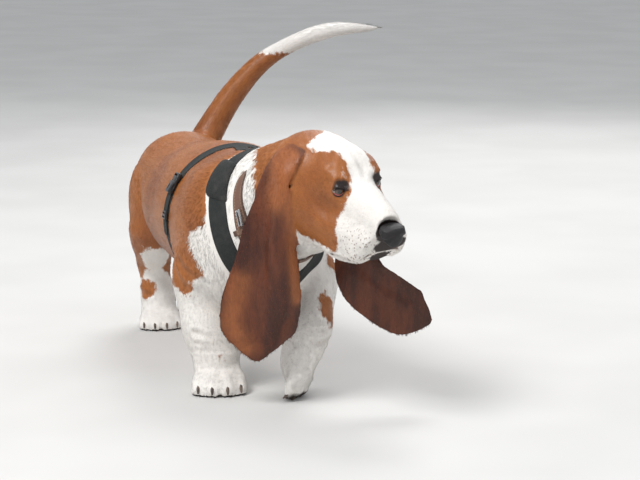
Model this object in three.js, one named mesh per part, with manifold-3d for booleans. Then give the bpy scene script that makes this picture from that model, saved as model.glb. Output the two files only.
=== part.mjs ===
// A life-size walking basset hound in a black webbing harness and a brown leather collar.
// Millimetres, +X towards the dog's front, +Y to its left, +Z up. The dog stands on z = 0.
import * as THREE from "three";
import { mergeVertices } from "three/addons/utils/BufferGeometryUtils.js";
import Module from "manifold-3d";

const wasm = await Module();
wasm.setup();

// Driving dimensions
const WITHERS = 362; // height of the top of the shoulders
const BODY_AXIS = 245; // height of the middle of the rib cage
const RIB_HALF_WIDTH = 112;
const CROUP_X = -405; // middle of the pelvis, behind the shoulders
const RUMP_SIDE = -36; // the hips swing to the dog's right in this step
const SKULL_BACK = [136, 66, 416]; // back of the top of the skull
const HEAD_YAW = 17; // degrees, turned to the dog's left
const HEAD_PITCH = 15; // degrees, nose down
const HEAD_ROLL = 8; // degrees, left side up
const EYE_RADIUS = 11;
const EAR_THICKNESS = 6;
const GAP = 0.35; // left between pieces that touch
const WEBBING = 2.6; // thickness of the harness straps
const LEATHER = 3.4; // thickness of the collar

const v = (x, y, z) => new THREE.Vector3(x, y, z);
const { degToRad, lerp, clamp, smoothstep } = THREE.MathUtils;

// Rounded forms: each is a function of a point that gives the distance to the surface, negative inside
function egg(centre, radii, turn = [0, 0, 0]) {
  const spin = new THREE.Quaternion().setFromEuler(
    new THREE.Euler(...turn.map(degToRad), "ZYX"),
  );
  const back = new THREE.Matrix4()
    .compose(v(...centre), spin, v(1, 1, 1))
    .invert();
  const q = v(0, 0, 0);
  return (p) => {
    q.copy(p).applyMatrix4(back);
    const near = Math.hypot(q.x / radii[0], q.y / radii[1], q.z / radii[2]);
    const steep = Math.hypot(
      q.x / radii[0] ** 2,
      q.y / radii[1] ** 2,
      q.z / radii[2] ** 2,
    );
    return near < 1e-6 ? -Math.min(...radii) : (near * (near - 1)) / steep;
  };
}

// A limb tapers from radius ra at a to rb at b, and is `wide` times as wide along `side`
function limb(a, b, ra, rb, side = [0, 1, 0], wide = 1) {
  const start = v(...a);
  const along = v(...b).sub(start);
  const across = v(...side).normalize();
  const off = v(0, 0, 0);
  return (p) => {
    off.copy(p).sub(start);
    const t = clamp(off.dot(along) / along.lengthSq(), 0, 1);
    off.addScaledVector(along, -t);
    off.addScaledVector(across, off.dot(across) * (1 / wide - 1));
    return off.length() - lerp(ra, rb, t);
  };
}

const blend =
  (soft, ...forms) =>
  (p) => {
    let d = forms[0](p);
    for (const form of forms.slice(1)) {
      const e = form(p);
      const h = Math.max(soft - Math.abs(d - e), 0) / soft;
      d = Math.min(d, e) - (h * h * soft) / 4;
    }
    return d;
  };

const hollow = (soft, form, tool) => (p) => {
  const d = form(p);
  const e = -tool(p);
  const h = Math.max(soft - Math.abs(d - e), 0) / soft;
  return Math.max(d, e) + (h * h * soft) / 4;
};

const anyOf =
  (...forms) =>
  (p) =>
    Math.min(...forms.map((form) => form(p)));

// Distance along a ray from inside a form to the level of its surface
function reachOf(form, origin, direction, reach, level) {
  const STEP = 3;
  const p = v(0, 0, 0);
  const at = (t) => form(p.copy(origin).addScaledVector(direction, t)) - level;
  let low = 0;
  let high = STEP;
  while (high < reach && at(high) < 0) {
    low = high;
    high += STEP;
  }
  if (high >= reach) return reach;
  for (let i = 0; i < 14; i++) {
    const middle = (low + high) / 2;
    if (at(middle) < 0) low = middle;
    else high = middle;
  }
  return Math.max(low, 0.5);
}

// A closed geometry from rings of points; poles close its ends, and a hoop joins its ends instead
function loft(rings, closedLoop = false) {
  const count = rings[0].length;
  const points = rings.flat();
  const faces = [];
  const last = closedLoop ? rings.length : rings.length - 1;
  for (let i = 0; i < last; i++) {
    const next = (i + 1) % rings.length;
    for (let j = 0; j < count; j++) {
      const k = (j + 1) % count;
      const [a, b, c, d] = [
        i * count + j,
        i * count + k,
        next * count + k,
        next * count + j,
      ];
      faces.push(a, b, c, a, c, d);
    }
  }
  if (!closedLoop) {
    const middleOf = (ring) =>
      ring.reduce((sum, p) => sum.add(p), v(0, 0, 0)).divideScalar(count);
    points.push(middleOf(rings[0]), middleOf(rings[rings.length - 1]));
    const end = (rings.length - 1) * count;
    for (let j = 0; j < count; j++) {
      const k = (j + 1) % count;
      faces.push(points.length - 2, k, j);
      faces.push(points.length - 1, end + j, end + k);
    }
  }
  const geometry = new THREE.BufferGeometry().setFromPoints(points);
  geometry.setIndex(faces);
  return geometry;
}

// Wraps a surface round a spine: rays leave the spine at each station, and fans of rays close both ends
function wrap(form, spine, options) {
  const { rings, sides, up, reach = 260, level = 0, fan = 4, crowd = 0 } = options;
  const stations = [];
  for (let i = fan; i > 0; i--) stations.push([0, (-90 * i) / (fan + 0.35)]);
  for (let i = 0; i <= rings; i++) stations.push([i / rings, 0]);
  for (let i = 1; i <= fan; i++) stations.push([1, (90 * i) / (fan + 0.35)]);
  return loft(
    stations.map(([t, tilt]) => {
      const centre = spine.getPoint(t);
      const along = spine.getTangent(t);
      const side = along.clone().cross(v(...up)).normalize();
      const top = side.clone().cross(along).normalize();
      const ring = [];
      for (let j = 0; j < sides; j++) {
        const turn = (2 * Math.PI * j) / sides;
        const angle = turn - crowd * Math.sin(turn);
        const ray = top
          .clone()
          .multiplyScalar(Math.cos(angle))
          .addScaledVector(side, Math.sin(angle))
          .multiplyScalar(Math.cos(degToRad(tilt)))
          .addScaledVector(along, Math.sin(degToRad(tilt)));
        const far = reachOf(form, centre, ray, reach, level);
        ring.push(centre.clone().addScaledVector(ray, far));
      }
      return ring;
    }),
  );
}

const curve = (...points) =>
  new THREE.CatmullRomCurve3(points.map((p) => v(...p)));

// Closed geometry to solid and back
function solid(geometry, matrix) {
  const bare = new THREE.BufferGeometry();
  bare.setAttribute("position", geometry.getAttribute("position").clone());
  bare.setIndex(geometry.index);
  if (matrix) bare.applyMatrix4(matrix);
  const merged = mergeVertices(bare, 1e-3);
  const made = new wasm.Manifold(
    new wasm.Mesh({
      numProp: 3,
      vertProperties: merged.attributes.position.array,
      triVerts: new Uint32Array(merged.index.array),
    }),
  );
  if (made.volume() > 0) return made;
  const turned = new Uint32Array(merged.index.array);
  for (let i = 0; i < turned.length; i += 3)
    [turned[i + 1], turned[i + 2]] = [turned[i + 2], turned[i + 1]];
  return new wasm.Manifold(
    new wasm.Mesh({
      numProp: 3,
      vertProperties: merged.attributes.position.array,
      triVerts: turned,
    }),
  );
}

const largest = (made) =>
  made.decompose().reduce((a, b) => (b.volume() > a.volume() ? b : a));

const minus = (body, ...tools) =>
  largest(tools.reduce((rest, tool) => rest.subtract(tool), body));

const joined = (...pieces) =>
  largest(pieces.reduce((all, piece) => all.add(piece)));

// A block that fills one side of a plane, to part a body there
function halfSpace(point, normal, size = 900) {
  const turn = new THREE.Quaternion().setFromUnitVectors(
    v(0, 0, 1),
    v(...normal).normalize(),
  );
  const centre = v(...point).addScaledVector(
    v(...normal).normalize(),
    size / 2,
  );
  return solid(
    new THREE.BoxGeometry(size, size, size),
    new THREE.Matrix4().compose(centre, turn, v(1, 1, 1)),
  );
}

const group = new THREE.Group();
group.name = "basset_hound";

function place(name, made, colour, roughness, metalness = 0) {
  const mesh = made.getMesh();
  const positions = new Float32Array(mesh.numVert * 3);
  for (let i = 0; i < mesh.numVert; i++)
    for (let k = 0; k < 3; k++)
      positions[i * 3 + k] = mesh.vertProperties[i * mesh.numProp + k];
  const geometry = new THREE.BufferGeometry();
  geometry.setAttribute("position", new THREE.BufferAttribute(positions, 3));
  geometry.setIndex(new THREE.BufferAttribute(mesh.triVerts, 1));
  geometry.computeVertexNormals();
  const material = new THREE.MeshStandardMaterial({
    color: colour,
    roughness,
    metalness,
  });
  const part = new THREE.Mesh(geometry, material);
  part.name = name;
  group.add(part);
}

const TAN = 0xa4541f;
const WHITE = 0xe9e2da;
const CHESTNUT = 0x6b2f17;
const BLACK_WEB = 0x17191a;
const BROWN_LEATHER = 0x6b4a3c;
const STEEL = 0xb9bcc0;
const HORN = 0x2b211d;

// Head frame: +X from the back of the skull to the nose, +Y left, +Z up, from the back of the skull
const headMatrix = new THREE.Matrix4().compose(
  v(...SKULL_BACK),
  new THREE.Quaternion().setFromEuler(
    new THREE.Euler(
      degToRad(HEAD_ROLL),
      degToRad(HEAD_PITCH),
      degToRad(HEAD_YAW),
      "ZYX",
    ),
  ),
  v(1, 1, 1),
);
const inHead = (...p) => v(...p).applyMatrix4(headMatrix).toArray();
const headWay = (...d) => v(...d).transformDirection(headMatrix).toArray();
const fromHead = headMatrix.clone().invert();
const headForm = (form) => {
  const q = v(0, 0, 0);
  return (p) => form(q.copy(p).applyMatrix4(fromHead));
};

// Trunk: pelvis, loin, rib cage, brisket, withers and neck as one blended body
const neckForm = blend(
  40,
  limb([30, 4, 275], [145, 60, 335], 86, 58),
  limb([60, 14, 298], [146, 60, 345], 58, 50),
  limb([90, 18, 235], [170, 72, 275], 48, 36),
);
const trunkForm = blend(
  45,
  egg([-120, -8, BODY_AXIS - 6], [185, RIB_HALF_WIDTH, 108], [0, 0, 4]),
  egg([35, 0, 222], [88, 92, 92]),
  limb([45, 0, 158], [-120, -8, 156], 44, 46, [0, 1, 0], 1.15),
  limb([-120, -8, 160], [-260, -20, 192], 48, 56),
  limb([-70, -4, WITHERS - 62], [30, 4, WITHERS - 58], 46, 46),
  limb([-310, RUMP_SIDE + 6, 264], [-110, -6, 262], 76, 86, [0, 1, 0], 1.1),
  egg([-280, RUMP_SIDE + 8, 224], [120, 92, 76], [0, 0, 5]),
  egg([CROUP_X, RUMP_SIDE, 272], [86, 84, 71]),
  egg([-8, -66, 245], [66, 44, 92], [0, 14, 0]),
  egg([-8, 66, 245], [66, 44, 92], [0, 14, 0]),
);
// Head: skull, brows, cheeks, muzzle and hanging flews, in the head frame
const EYE = [129, 27, -45]; // the left eye; the right one is its mirror image
const mirrored = (p, side) => [p[0], p[1] * side, p[2]];
const both = (make) => [make(1), make(-1)];
const faceForm = blend(
  12,
  egg([60, 0, -62], [82, 55, 55]),
  egg([88, 0, -40], [48, 41, 38]),
  ...both((s) => limb([66, 45 * s, -86], [122, 37 * s, -98], 27, 20)),
  ...both((s) => limb([106, 27 * s, -27], [128, 29 * s, -32], 14, 11)),
  ...both((s) => limb([100, 38 * s, -42], [121, 36 * s, -46], 12, 7)),
  ...both((s) => limb([112, 35 * s, -62], [134, 27 * s, -60], 11, 8)),
  limb([124, 0, -62], [208, 0, -76], 33, 24, [0, 1, 0], 1.02),
  limb([118, 0, -47], [212, 0, -63], 16, 13, [0, 1, 0], 1.15),
  ...both((s) => limb([138, 25 * s, -102], [206, 18 * s, -96], 24, 19)),
  ...both((s) => limb([142, 28 * s, -132], [190, 24 * s, -118], 17, 18)),
  ...both((s) => limb([84, 37 * s, -114], [132, 33 * s, -130], 26, 18)),
  egg([208, 0, -98], [21, 23, 17]),
  egg([72, 0, -120], [70, 38, 36]),
);
const sockets = anyOf(...both((s) => egg([140, 36 * s, -45], [9, 12, 8], [0, 0, 38 * s])));
const headOnly = headForm(hollow(9, faceForm, sockets));
const bodyForm = blend(38, trunkForm, neckForm);
const wholeForm = blend(24, bodyForm, headOnly);

const trunkSpine = curve(
  [-440, RUMP_SIDE, 264],
  [-330, RUMP_SIDE + 8, 258],
  [-200, -14, 250],
  [-80, -4, 250],
  [25, 4, 265],
  [95, 28, 300],
  [150, 62, 345],
);
const trunkWrap = (level) =>
  solid(
    wrap(wholeForm, trunkSpine, {
      rings: 23,
      sides: 22,
      up: [0, 0, 1],
      level,
      fan: 5,
    }),
  );
const trunk = trunkWrap(0);
const trunkCutter = trunkWrap(GAP);

// The neck begins in front of the withers and ends behind the ears
const NECK_BASE = [52, 8, 290];
const NECK_WAY = [0.86, 0.24, 0.44];
const NECK_TOP = inHead(10, 0, -70);
const SKULL_WAY = [0.85, 0.42, 0.18];
const shifted = (point, way, by) =>
  v(...point).addScaledVector(v(...way).normalize(), by).toArray();
const ahead = (point, way, by = 0) => halfSpace(shifted(point, way, by), way);

const torso = minus(trunk, ahead(NECK_BASE, NECK_WAY));
const neck = minus(
  trunk.intersect(ahead(NECK_BASE, NECK_WAY, GAP)),
  ahead(NECK_TOP, SKULL_WAY),
);

const headSpine = curve(
  inHead(-14, 0, -66),
  inHead(50, 0, -66),
  inHead(110, 0, -72),
  inHead(160, 0, -86),
  inHead(202, 0, -88),
);
const headWrap = (level) =>
  solid(
    wrap(wholeForm, headSpine, {
      rings: 22,
      sides: 28,
      up: headWay(0, 0, 1),
      reach: 120,
      level,
      fan: 6,
    }),
  );

// Eyes, with lids that leave an almond opening and a lower lid that droops
const ball = (radius, centre, across = 12, down = 8) =>
  solid(
    new THREE.SphereGeometry(radius, across, down),
    new THREE.Matrix4().makeTranslation(...centre),
  );
const tubeAlong = (points, radius, sides = 6, steps = 12) => {
  const path = new THREE.CatmullRomCurve3(points.map((p) => v(...p)));
  const rings = [];
  for (let i = 0; i <= steps; i++) {
    const t = i / steps;
    const along = path.getTangent(t);
    const helper = Math.abs(along.z) > 0.9 ? v(1, 0, 0) : v(0, 0, 1);
    const side = along.clone().cross(helper).normalize();
    const top = side.clone().cross(along);
    const r = typeof radius === "function" ? radius(t) : radius;
    rings.push(
      Array.from({ length: sides }, (_, j) => {
        const angle = (2 * Math.PI * j) / sides;
        return path
          .getPoint(t)
          .addScaledVector(side, Math.cos(angle) * r)
          .addScaledVector(top, Math.sin(angle) * r);
      }),
    );
  }
  return solid(loft(rings));
};
// A lid follows the eyeball from the inner corner to the outer one, `drop` degrees above or below its middle
function lid(side, drop, thickness) {
  const points = [];
  for (let i = 0; i <= 8; i++) {
    const t = i / 8;
    const yaw = degToRad(lerp(-18, 84, t));
    const rise = degToRad(drop * Math.sin(Math.PI * t) ** 0.8 - 8 * t);
    const r = EYE_RADIUS + 0.9;
    points.push(
      inHead(
        EYE[0] + r * Math.cos(yaw) * Math.cos(rise),
        (EYE[1] + r * Math.sin(yaw) * Math.cos(rise)) * side,
        EYE[2] + r * Math.sin(rise),
      ),
    );
  }
  const bulge = (t) => 1.2 + (thickness - 1.2) * Math.sin(Math.PI * t);
  return tubeAlong(points, bulge, 5, 8);
}

// Lower jaw, tucked between the flews
const jawForm = headForm(
  blend(
    10,
    limb([92, 0, -146], [196, 0, -122], 15, 12, [0, 1, 0], 1.5),
    ...both((s) => limb([116, 24 * s, -144], [156, 25 * s, -142], 9, 8)),
  ),
);
const jawSpine = curve(inHead(90, 0, -145), inHead(150, 0, -133), inHead(194, 0, -123));
const jawWrap = (level) =>
  solid(
    wrap(jawForm, jawSpine, {
      rings: 7,
      sides: 12,
      up: headWay(0, 0, 1),
      reach: 60,
      level,
      fan: 3,
    }),
  );

// Nose: a rounded pad with two comma nostrils
const noseForm = headForm(
  blend(
    8,
    egg([228, 0, -68], [16, 18.5, 14]),
    egg([231, 0, -81], [12, 13, 11]),
  ),
);
const noseSpine = curve(inHead(222, 0, -73), inHead(230, 0, -74), inHead(236, 0, -75));
const noseWrap = (level) =>
  solid(
    wrap(noseForm, noseSpine, {
      rings: 2,
      sides: 14,
      up: headWay(0, 0, 1),
      reach: 60,
      level,
      fan: 4,
    }),
  );
const nostril = (s) =>
  tubeAlong(
    [
      inHead(235, 14 * s, -79),
      inHead(243, 10 * s, -75),
      inHead(254, 7 * s, -72),
    ],
    (t) => 2.4 + 1.8 * t,
    7,
    3,
  );

// Ears: long leaves that hang in a loose fold, cupped at the top
function ear(stations) {
  const STEPS = 20;
  const HALF = 4;
  const pick = (key) =>
    new THREE.CatmullRomCurve3(stations.map((s) => v(...s[key])));
  const middle = pick("at");
  const edge = pick("side");
  const numbers = new THREE.CatmullRomCurve3(
    stations.map((s) => v(s.width / 2, s.cup, s.wave ?? 0)),
  );
  const rings = [];
  for (let i = 0; i <= STEPS; i++) {
    const t = i / STEPS;
    const centre = middle.getPoint(t);
    const along = middle.getTangent(t);
    const side = edge.getPoint(t);
    side.addScaledVector(along, -side.dot(along)).normalize();
    const face = along.clone().cross(side).normalize();
    const { x: half, y: cup, z: wave } = numbers.getPoint(t);
    const tip = Math.sqrt(clamp((1 - t) / 0.16, 0.02, 1));
    const front = [];
    const back = [];
    for (let j = -HALF; j <= HALF; j++) {
      const u = j / HALF;
      const bend = cup * u * u + wave * Math.sin(Math.PI * u);
      const thick = (EAR_THICKNESS / 2) * Math.sqrt(1 - 0.8 * u * u);
      const base = centre
        .clone()
        .addScaledVector(side, u * half * tip)
        .addScaledVector(face, bend * tip);
      front.push(base.clone().addScaledVector(face, thick));
      back.unshift(base.clone().addScaledVector(face, -thick));
    }
    rings.push([...front, ...back]);
  }
  return solid(loft(rings));
}

const rightEar = ear([
  { at: inHead(36, -46, -12), side: headWay(1, 0, 0), width: 46, cup: -2, wave: 0 },
  { at: inHead(42, -77, -38), side: headWay(1, 0.1, -0.1), width: 58, cup: -3, wave: 2 },
  { at: inHead(46, -92, -80), side: headWay(0.9, 0.3, 0), width: 70, cup: -5, wave: 6 },
  { at: [176, -10, 266], side: [0.4, 0.9, 0.02], width: 82, cup: -12, wave: 9 },
  { at: [174, -11, 214], side: [0.32, 0.93, 0.05], width: 100, cup: -10, wave: 11 },
  { at: [166, -16, 160], side: [0.26, 0.95, 0.15], width: 122, cup: -4, wave: 10 },
  { at: [156, -21, 112], side: [0.24, 0.95, 0.22], width: 120, cup: -2, wave: 6 },
  { at: [150, -20, 66], side: [0.25, 0.95, 0.3], width: 78, cup: 0, wave: 2 },
]);
const leftEar = ear([
  { at: inHead(28, 40, -34), side: headWay(1, 0, 0), width: 40, cup: 4, wave: 0 },
  { at: inHead(30, 66, -62), side: headWay(1, -0.05, 0), width: 50, cup: 10, wave: -2 },
  { at: [146, 146, 290], side: [0.95, 0.2, 0.1], width: 62, cup: 12, wave: -4 },
  { at: [166, 130, 238], side: [0.7, 0.5, 0.5], width: 84, cup: 12, wave: -6 },
  { at: [178, 134, 192], side: [0.45, 0.55, 0.75], width: 90, cup: 8, wave: -4 },
  { at: [188, 164, 162], side: [0.25, 0.55, 0.8], width: 88, cup: 5, wave: -2 },
  { at: [198, 200, 140], side: [0.15, 0.55, 0.82], width: 84, cup: 3, wave: 0 },
  { at: [202, 232, 126], side: [0.12, 0.5, 0.85], width: 66, cup: 2, wave: 0 },
]);

// Tail: a raised sabre that swings to the dog's left
const tailCurve = curve(
  [CROUP_X - 44, -10, 290],
  [CROUP_X - 54, 16, 334],
  [CROUP_X - 54, 56, 396],
  [CROUP_X - 46, 104, 450],
  [CROUP_X - 36, 154, 482],
  [CROUP_X - 26, 223, 507],
  [CROUP_X - 18, 312, 510],
);
const tailRadius = (t) => lerp(30, 15.5, Math.min(t / 0.62, 1)) * Math.sqrt(clamp((1.01 - t) / 0.2, 0, 1));
function tailLength(from, to, steps) {
  const rings = [];
  for (let i = 0; i <= steps; i++) {
    const t = lerp(from, to, i / steps);
    const along = tailCurve.getTangent(t);
    const side = along.clone().cross(v(1, 0, 0)).normalize();
    const top = side.clone().cross(along);
    rings.push(
      Array.from({ length: 12 }, (_, j) => {
        const angle = (2 * Math.PI * j) / 12;
        return tailCurve
          .getPoint(t)
          .addScaledVector(side, Math.cos(angle) * tailRadius(t))
          .addScaledVector(top, Math.sin(angle) * tailRadius(t));
      }),
    );
  }
  return solid(loft(rings));
}
const TAIL_WHITE = 0.56; // share of the tail below the white end

// Paws: a pad with four toes, in a frame whose +X points to the toes and whose sole is at z = 0
function pawForm(size, hanging) {
  const toe = (y, x, lean) =>
    blend(
      5,
      limb([x - 30, y * 0.78, 30], [x - 5, y, 22], 12.5, 11.5),
      limb([x - 5, y, 21], [x + 5, y + lean, 9.5], 11.5, 10.5),
      limb([x + 4, y + lean, 10], [x + 4, y + lean, hanging ? 8 : -14], 10.5, 10.5),
    );
  const wrist = hanging
    ? limb([-52, 0, 28], [-6, 0, 26], 27, 24, [0, 1, 0], 1.1)
    : limb([-16, 0, 64], [2, 0, 38], 30, 24, [0, 1, 0], 1.15);
  const paw = blend(
    6,
    wrist,
    limb([-14, 0, 20], [12, 0, 22], 22, 21, [0, 1, 0], 1.45),
    hanging ? egg([-2, 0, 14], [24, 26, 17]) : egg([3, 0, -2], [35, 36, 28]),
    toe(-29, 30, -3),
    toe(-10.5, 40, -1),
    toe(10.5, 40, 1),
    toe(29, 30, 3),
  );
  const q = v(0, 0, 0);
  return (p) => paw(q.copy(p).divideScalar(size)) * size;
}
const TOES = [-1, -0.36, 0.36, 1];
function claw(size, share, matrix, grow = 0) {
  const x = (Math.abs(share) > 0.5 ? 40 : 50) * size;
  const y = share * 31 * size;
  const points = [
    [x - 12 * size, y, 18 * size],
    [x - 2 * size, y * 1.02, 16 * size],
    [x + 5 * size, y * 1.04, 11 * size],
    [x + 8 * size, y * 1.05, 5.5 * size],
  ].map((p) => v(...p).applyMatrix4(matrix).toArray());
  return tubeAlong(points, (t) => 4.8 * size * (1 - 0.66 * t) + grow, 5, 3);
}

// A frame at a point, with its +X towards `toes` and its +Z as near as it can be to `top`
function frameAt(at, toes, top = [0, 0, 1]) {
  const x = v(...toes).normalize();
  const y = v(...top).cross(x).normalize();
  const frame = new THREE.Matrix4().makeBasis(x, y, x.clone().cross(y));
  return frame.setPosition(...at);
}

// Each leg: a limb form with its spine, and the paw that it stands on
const legs = [
  {
    name: "fore_right",
    colour: WHITE,
    forms: [
      egg([0, -82, 205], [56, 34, 74], [0, 12, 0]),
      limb([-14, -80, 160], [8, -70, 92], 42, 37, [0, 1, 0], 0.94),
      limb([8, -70, 92], [18, -60, 58], 36, 34),
    ],
    spine: curve([4, -66, 232], [-6, -78, 165], [8, -70, 100], [16, -61, 60]),
    paw: frameAt([30, -57, 0], [1, -0.12, 0]),
    size: 1,
  },
  {
    name: "fore_left",
    colour: WHITE,
    forms: [
      egg([18, 84, 205], [56, 32, 72], [0, -6, 0]),
      limb([22, 96, 165], [82, 74, 104], 40, 33, [0, 1, 0], 0.94),
      limb([82, 74, 104], [98, 66, 76], 32, 27),
    ],
    spine: curve([10, 66, 232], [20, 88, 172], [72, 76, 114], [96, 66, 82]),
    paw: frameAt([92, 34, 44], [0.22, 0.05, -1], [0.55, 0.8, 0.1]),
    hanging: true,
    size: 0.92,
  },
  {
    name: "hind_right",
    colour: TAN,
    forms: [
      egg([CROUP_X + 2, RUMP_SIDE - 58, 222], [76, 40, 84], [0, -16, 0]),
      limb(
        [CROUP_X + 30, RUMP_SIDE - 60, 172],
        [CROUP_X - 48, RUMP_SIDE - 50, 112],
        44,
        28,
      ),
      limb(
        [CROUP_X - 50, RUMP_SIDE - 50, 104],
        [CROUP_X - 36, RUMP_SIDE - 46, 46],
        25,
        24,
      ),
    ],
    spine: curve(
      [CROUP_X + 6, RUMP_SIDE - 50, 245],
      [CROUP_X - 4, RUMP_SIDE - 58, 170],
      [CROUP_X - 44, RUMP_SIDE - 50, 112],
      [CROUP_X - 38, RUMP_SIDE - 47, 52],
    ),
    paw: frameAt([CROUP_X - 26, RUMP_SIDE - 44, 0], [1, -0.1, 0]),
    size: 0.88,
  },
  {
    name: "hind_left",
    colour: TAN,
    forms: [
      egg([CROUP_X - 10, RUMP_SIDE + 58, 222], [76, 40, 84], [0, -4, 0]),
      limb(
        [CROUP_X - 14, RUMP_SIDE + 56, 172],
        [CROUP_X - 100, RUMP_SIDE + 34, 112],
        44,
        27,
      ),
      limb(
        [CROUP_X - 104, RUMP_SIDE + 33, 106],
        [CROUP_X - 100, RUMP_SIDE + 28, 46],
        23,
        22,
      ),
    ],
    spine: curve(
      [CROUP_X, RUMP_SIDE + 50, 245],
      [CROUP_X - 34, RUMP_SIDE + 52, 172],
      [CROUP_X - 96, RUMP_SIDE + 35, 114],
      [CROUP_X - 100, RUMP_SIDE + 29, 52],
    ),
    paw: frameAt([CROUP_X - 88, RUMP_SIDE + 27, 0], [1, 0.06, 0]),
    size: 0.88,
  },
];
const FLOOR = halfSpace([0, 0, 0], [0, 0, -1], 2000);
for (const leg of legs) {
  const form = pawForm(leg.size, leg.hanging);
  const fromWorld = leg.paw.clone().invert();
  const toWorld = leg.paw.clone();
  const q = v(0, 0, 0);
  const r = v(0, 0, 0);
  leg.form = blend(18, ...leg.forms, (p) => form(q.copy(p).applyMatrix4(fromWorld)));
  const near = (p) => leg.form(r.copy(p).applyMatrix4(toWorld));
  const [low, high] = leg.hanging
    ? [v(8, 0, 20), v(-44, 0, 26)]
    : [v(6, 0, -6), v(-12, 0, 66)];
  const wrist = leg.hanging ? v(-36, 0, 26) : v(-8, 0, 54);
  const away = high.clone().sub(low).normalize().transformDirection(leg.paw).toArray();
  const cut = wrist.multiplyScalar(leg.size).applyMatrix4(leg.paw).toArray();
  const pawBody = solid(
    wrap(
      near,
      new THREE.LineCurve3(low.multiplyScalar(leg.size), high.multiplyScalar(leg.size)),
      {
        rings: 8,
        sides: 22,
        up: leg.hanging ? [0, 0, 1] : [1, 0, 0],
        reach: 66 * leg.size,
        fan: leg.hanging ? 4 : 2,
        crowd: leg.hanging ? 0 : 0.45,
      },
    ),
    leg.paw,
  );
  const legBody = solid(
    wrap(leg.form, leg.spine, { rings: 11, sides: 16, up: [1, 0, 0], reach: 130, fan: 3 }),
  );
  const clawCutters = TOES.map((share) => claw(leg.size, share, leg.paw, GAP));
  const pawNode = minus(pawBody, ahead(cut, away), FLOOR, ...clawCutters);
  TOES.forEach((share, i) => {
    const horn = minus(claw(leg.size, share, leg.paw), FLOOR);
    place(`claw_${leg.name}_${i + 1}`, horn, HORN, 0.5);
  });
  place(`paw_${leg.name}`, pawNode, WHITE, 0.8);
  leg.body = minus(legBody.intersect(ahead(cut, away, GAP)), trunkCutter);
}

const eyes = both((s) => inHead(...mirrored(EYE, s)));
let head = headWrap(0).intersect(ahead(NECK_TOP, SKULL_WAY, GAP));
for (const s of [1, -1])
  head = joined(head, lid(s, 34, 4.2), lid(s, -36, 4.4));
head = minus(
  head,
  jawWrap(GAP),
  noseWrap(GAP),
  ...eyes.map((at) => ball(EYE_RADIUS + GAP + 0.3, at)),
);
const headCutter = headWrap(GAP);
place("lower_jaw", largest(jawWrap(0)), WHITE, 0.7);
place("nose", minus(noseWrap(0), nostril(1), nostril(-1)), 0x1a1718, 0.45);
eyes.forEach((at, i) =>
  place(`eye_${i ? "right" : "left"}`, ball(EYE_RADIUS, at), 0x24150e, 0.1),
);
place("tail_base", minus(tailLength(0, TAIL_WHITE, 13), trunkCutter), TAN, 0.7);
place("tail_tip", tailLength(TAIL_WHITE + 0.002, 1, 10), WHITE, 0.8);


// Straps follow a plane round the body: `from` and `to` are degrees away from the top of the loop
const standing = blend(14, wholeForm, ...legs.map((leg) => leg.form));
const SUNK = 2; // how far a strap presses into the coat
function band(form, loop, grow = 0) {
  const { centre, way, width, thick, from = 0, to = 360, steps, sunk = SUNK, limit = 280 } = loop;
  const normal = v(...way).normalize();
  const high = v(0, 0, 1).addScaledVector(normal, -normal.z).normalize();
  const side = normal.clone().cross(high);
  const closedLoop = to - from === 360;
  const rings = [];
  for (let i = 0; i < steps + (closedLoop ? 0 : 1); i++) {
    const angle = degToRad(lerp(from, to, i / steps));
    const ray = high.clone().multiplyScalar(Math.cos(angle)).addScaledVector(side, Math.sin(angle));
    const [back, front] = [-1, 1].map((end) => {
      const near = v(...centre).addScaledVector(normal, (end * width) / 2);
      const far = reachOf(form, near, ray, limit, 0);
      const origin = near.addScaledVector(normal, end * grow);
      return [far - sunk - grow, far + thick + grow].map((r) =>
        origin.clone().addScaledVector(ray, r),
      );
    });
    rings.push([back[0], front[0], front[1], back[1]]);
  }
  return solid(loft(rings, closedLoop));
}

const neckLoop = {
  centre: [88, -4, 248],
  way: [0.929, 0.2, 0.31],
  width: 29,
  thick: WEBBING,
  steps: 24,
};
const girthLoop = {
  centre: [-72, -6, 250],
  way: [0.99, 0, 0.06],
  width: 22,
  thick: WEBBING,
  steps: 24,
};
const collarLoop = {
  centre: [122, 36, 280],
  way: [0.965, -0.02, 0.26],
  width: 15,
  thick: LEATHER,
  steps: 22,
  limit: 90,
};
const keel = { centre: [-10, -2, 235], way: [0, 1, 0], thick: WEBBING };
const chestLoop = { ...keel, width: 26, from: 126, to: 200, steps: 8 };
const backLoop = { ...keel, width: 22, from: -32, to: 22, steps: 6 };
const GROOVE = GAP + 0.25;
const neckLoopCutter = band(standing, neckLoop, GROOVE);
const girthCutter = band(standing, girthLoop, GROOVE);
const collarCutter = band(standing, collarLoop, GROOVE);
const grooves = [neckLoopCutter, girthCutter, collarCutter];
grooves.push(band(standing, chestLoop, GROOVE), band(standing, backLoop, GROOVE));
grooves.push(band(standing, collarLoop, 0.15), band(standing, collarLoop));

place("torso", minus(torso, ...grooves), TAN, 0.7);
place("neck", minus(neck, ...grooves), WHITE, 0.75);
place("head", minus(head, collarCutter), WHITE, 0.7);
for (const leg of legs)
  place(`leg_${leg.name}`, minus(leg.body, ...grooves), leg.colour, 0.7);
const earCutters = [headCutter, trunkCutter, collarCutter, neckLoopCutter];
place("ear_right", minus(rightEar, ...earCutters), CHESTNUT, 0.6);
place("ear_left", minus(leftEar, ...earCutters), CHESTNUT, 0.6);
place("harness_neck_loop", band(standing, neckLoop), BLACK_WEB, 0.85);
place("harness_girth", band(standing, girthLoop), BLACK_WEB, 0.85);
const crossing = [neckLoopCutter, girthCutter];
const chestStrap = minus(band(standing, chestLoop), ...crossing);
place("harness_chest_strap", chestStrap, BLACK_WEB, 0.85);
const backStrap = minus(band(standing, backLoop), ...crossing);
place("harness_back_strap", backStrap, BLACK_WEB, 0.85);
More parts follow.
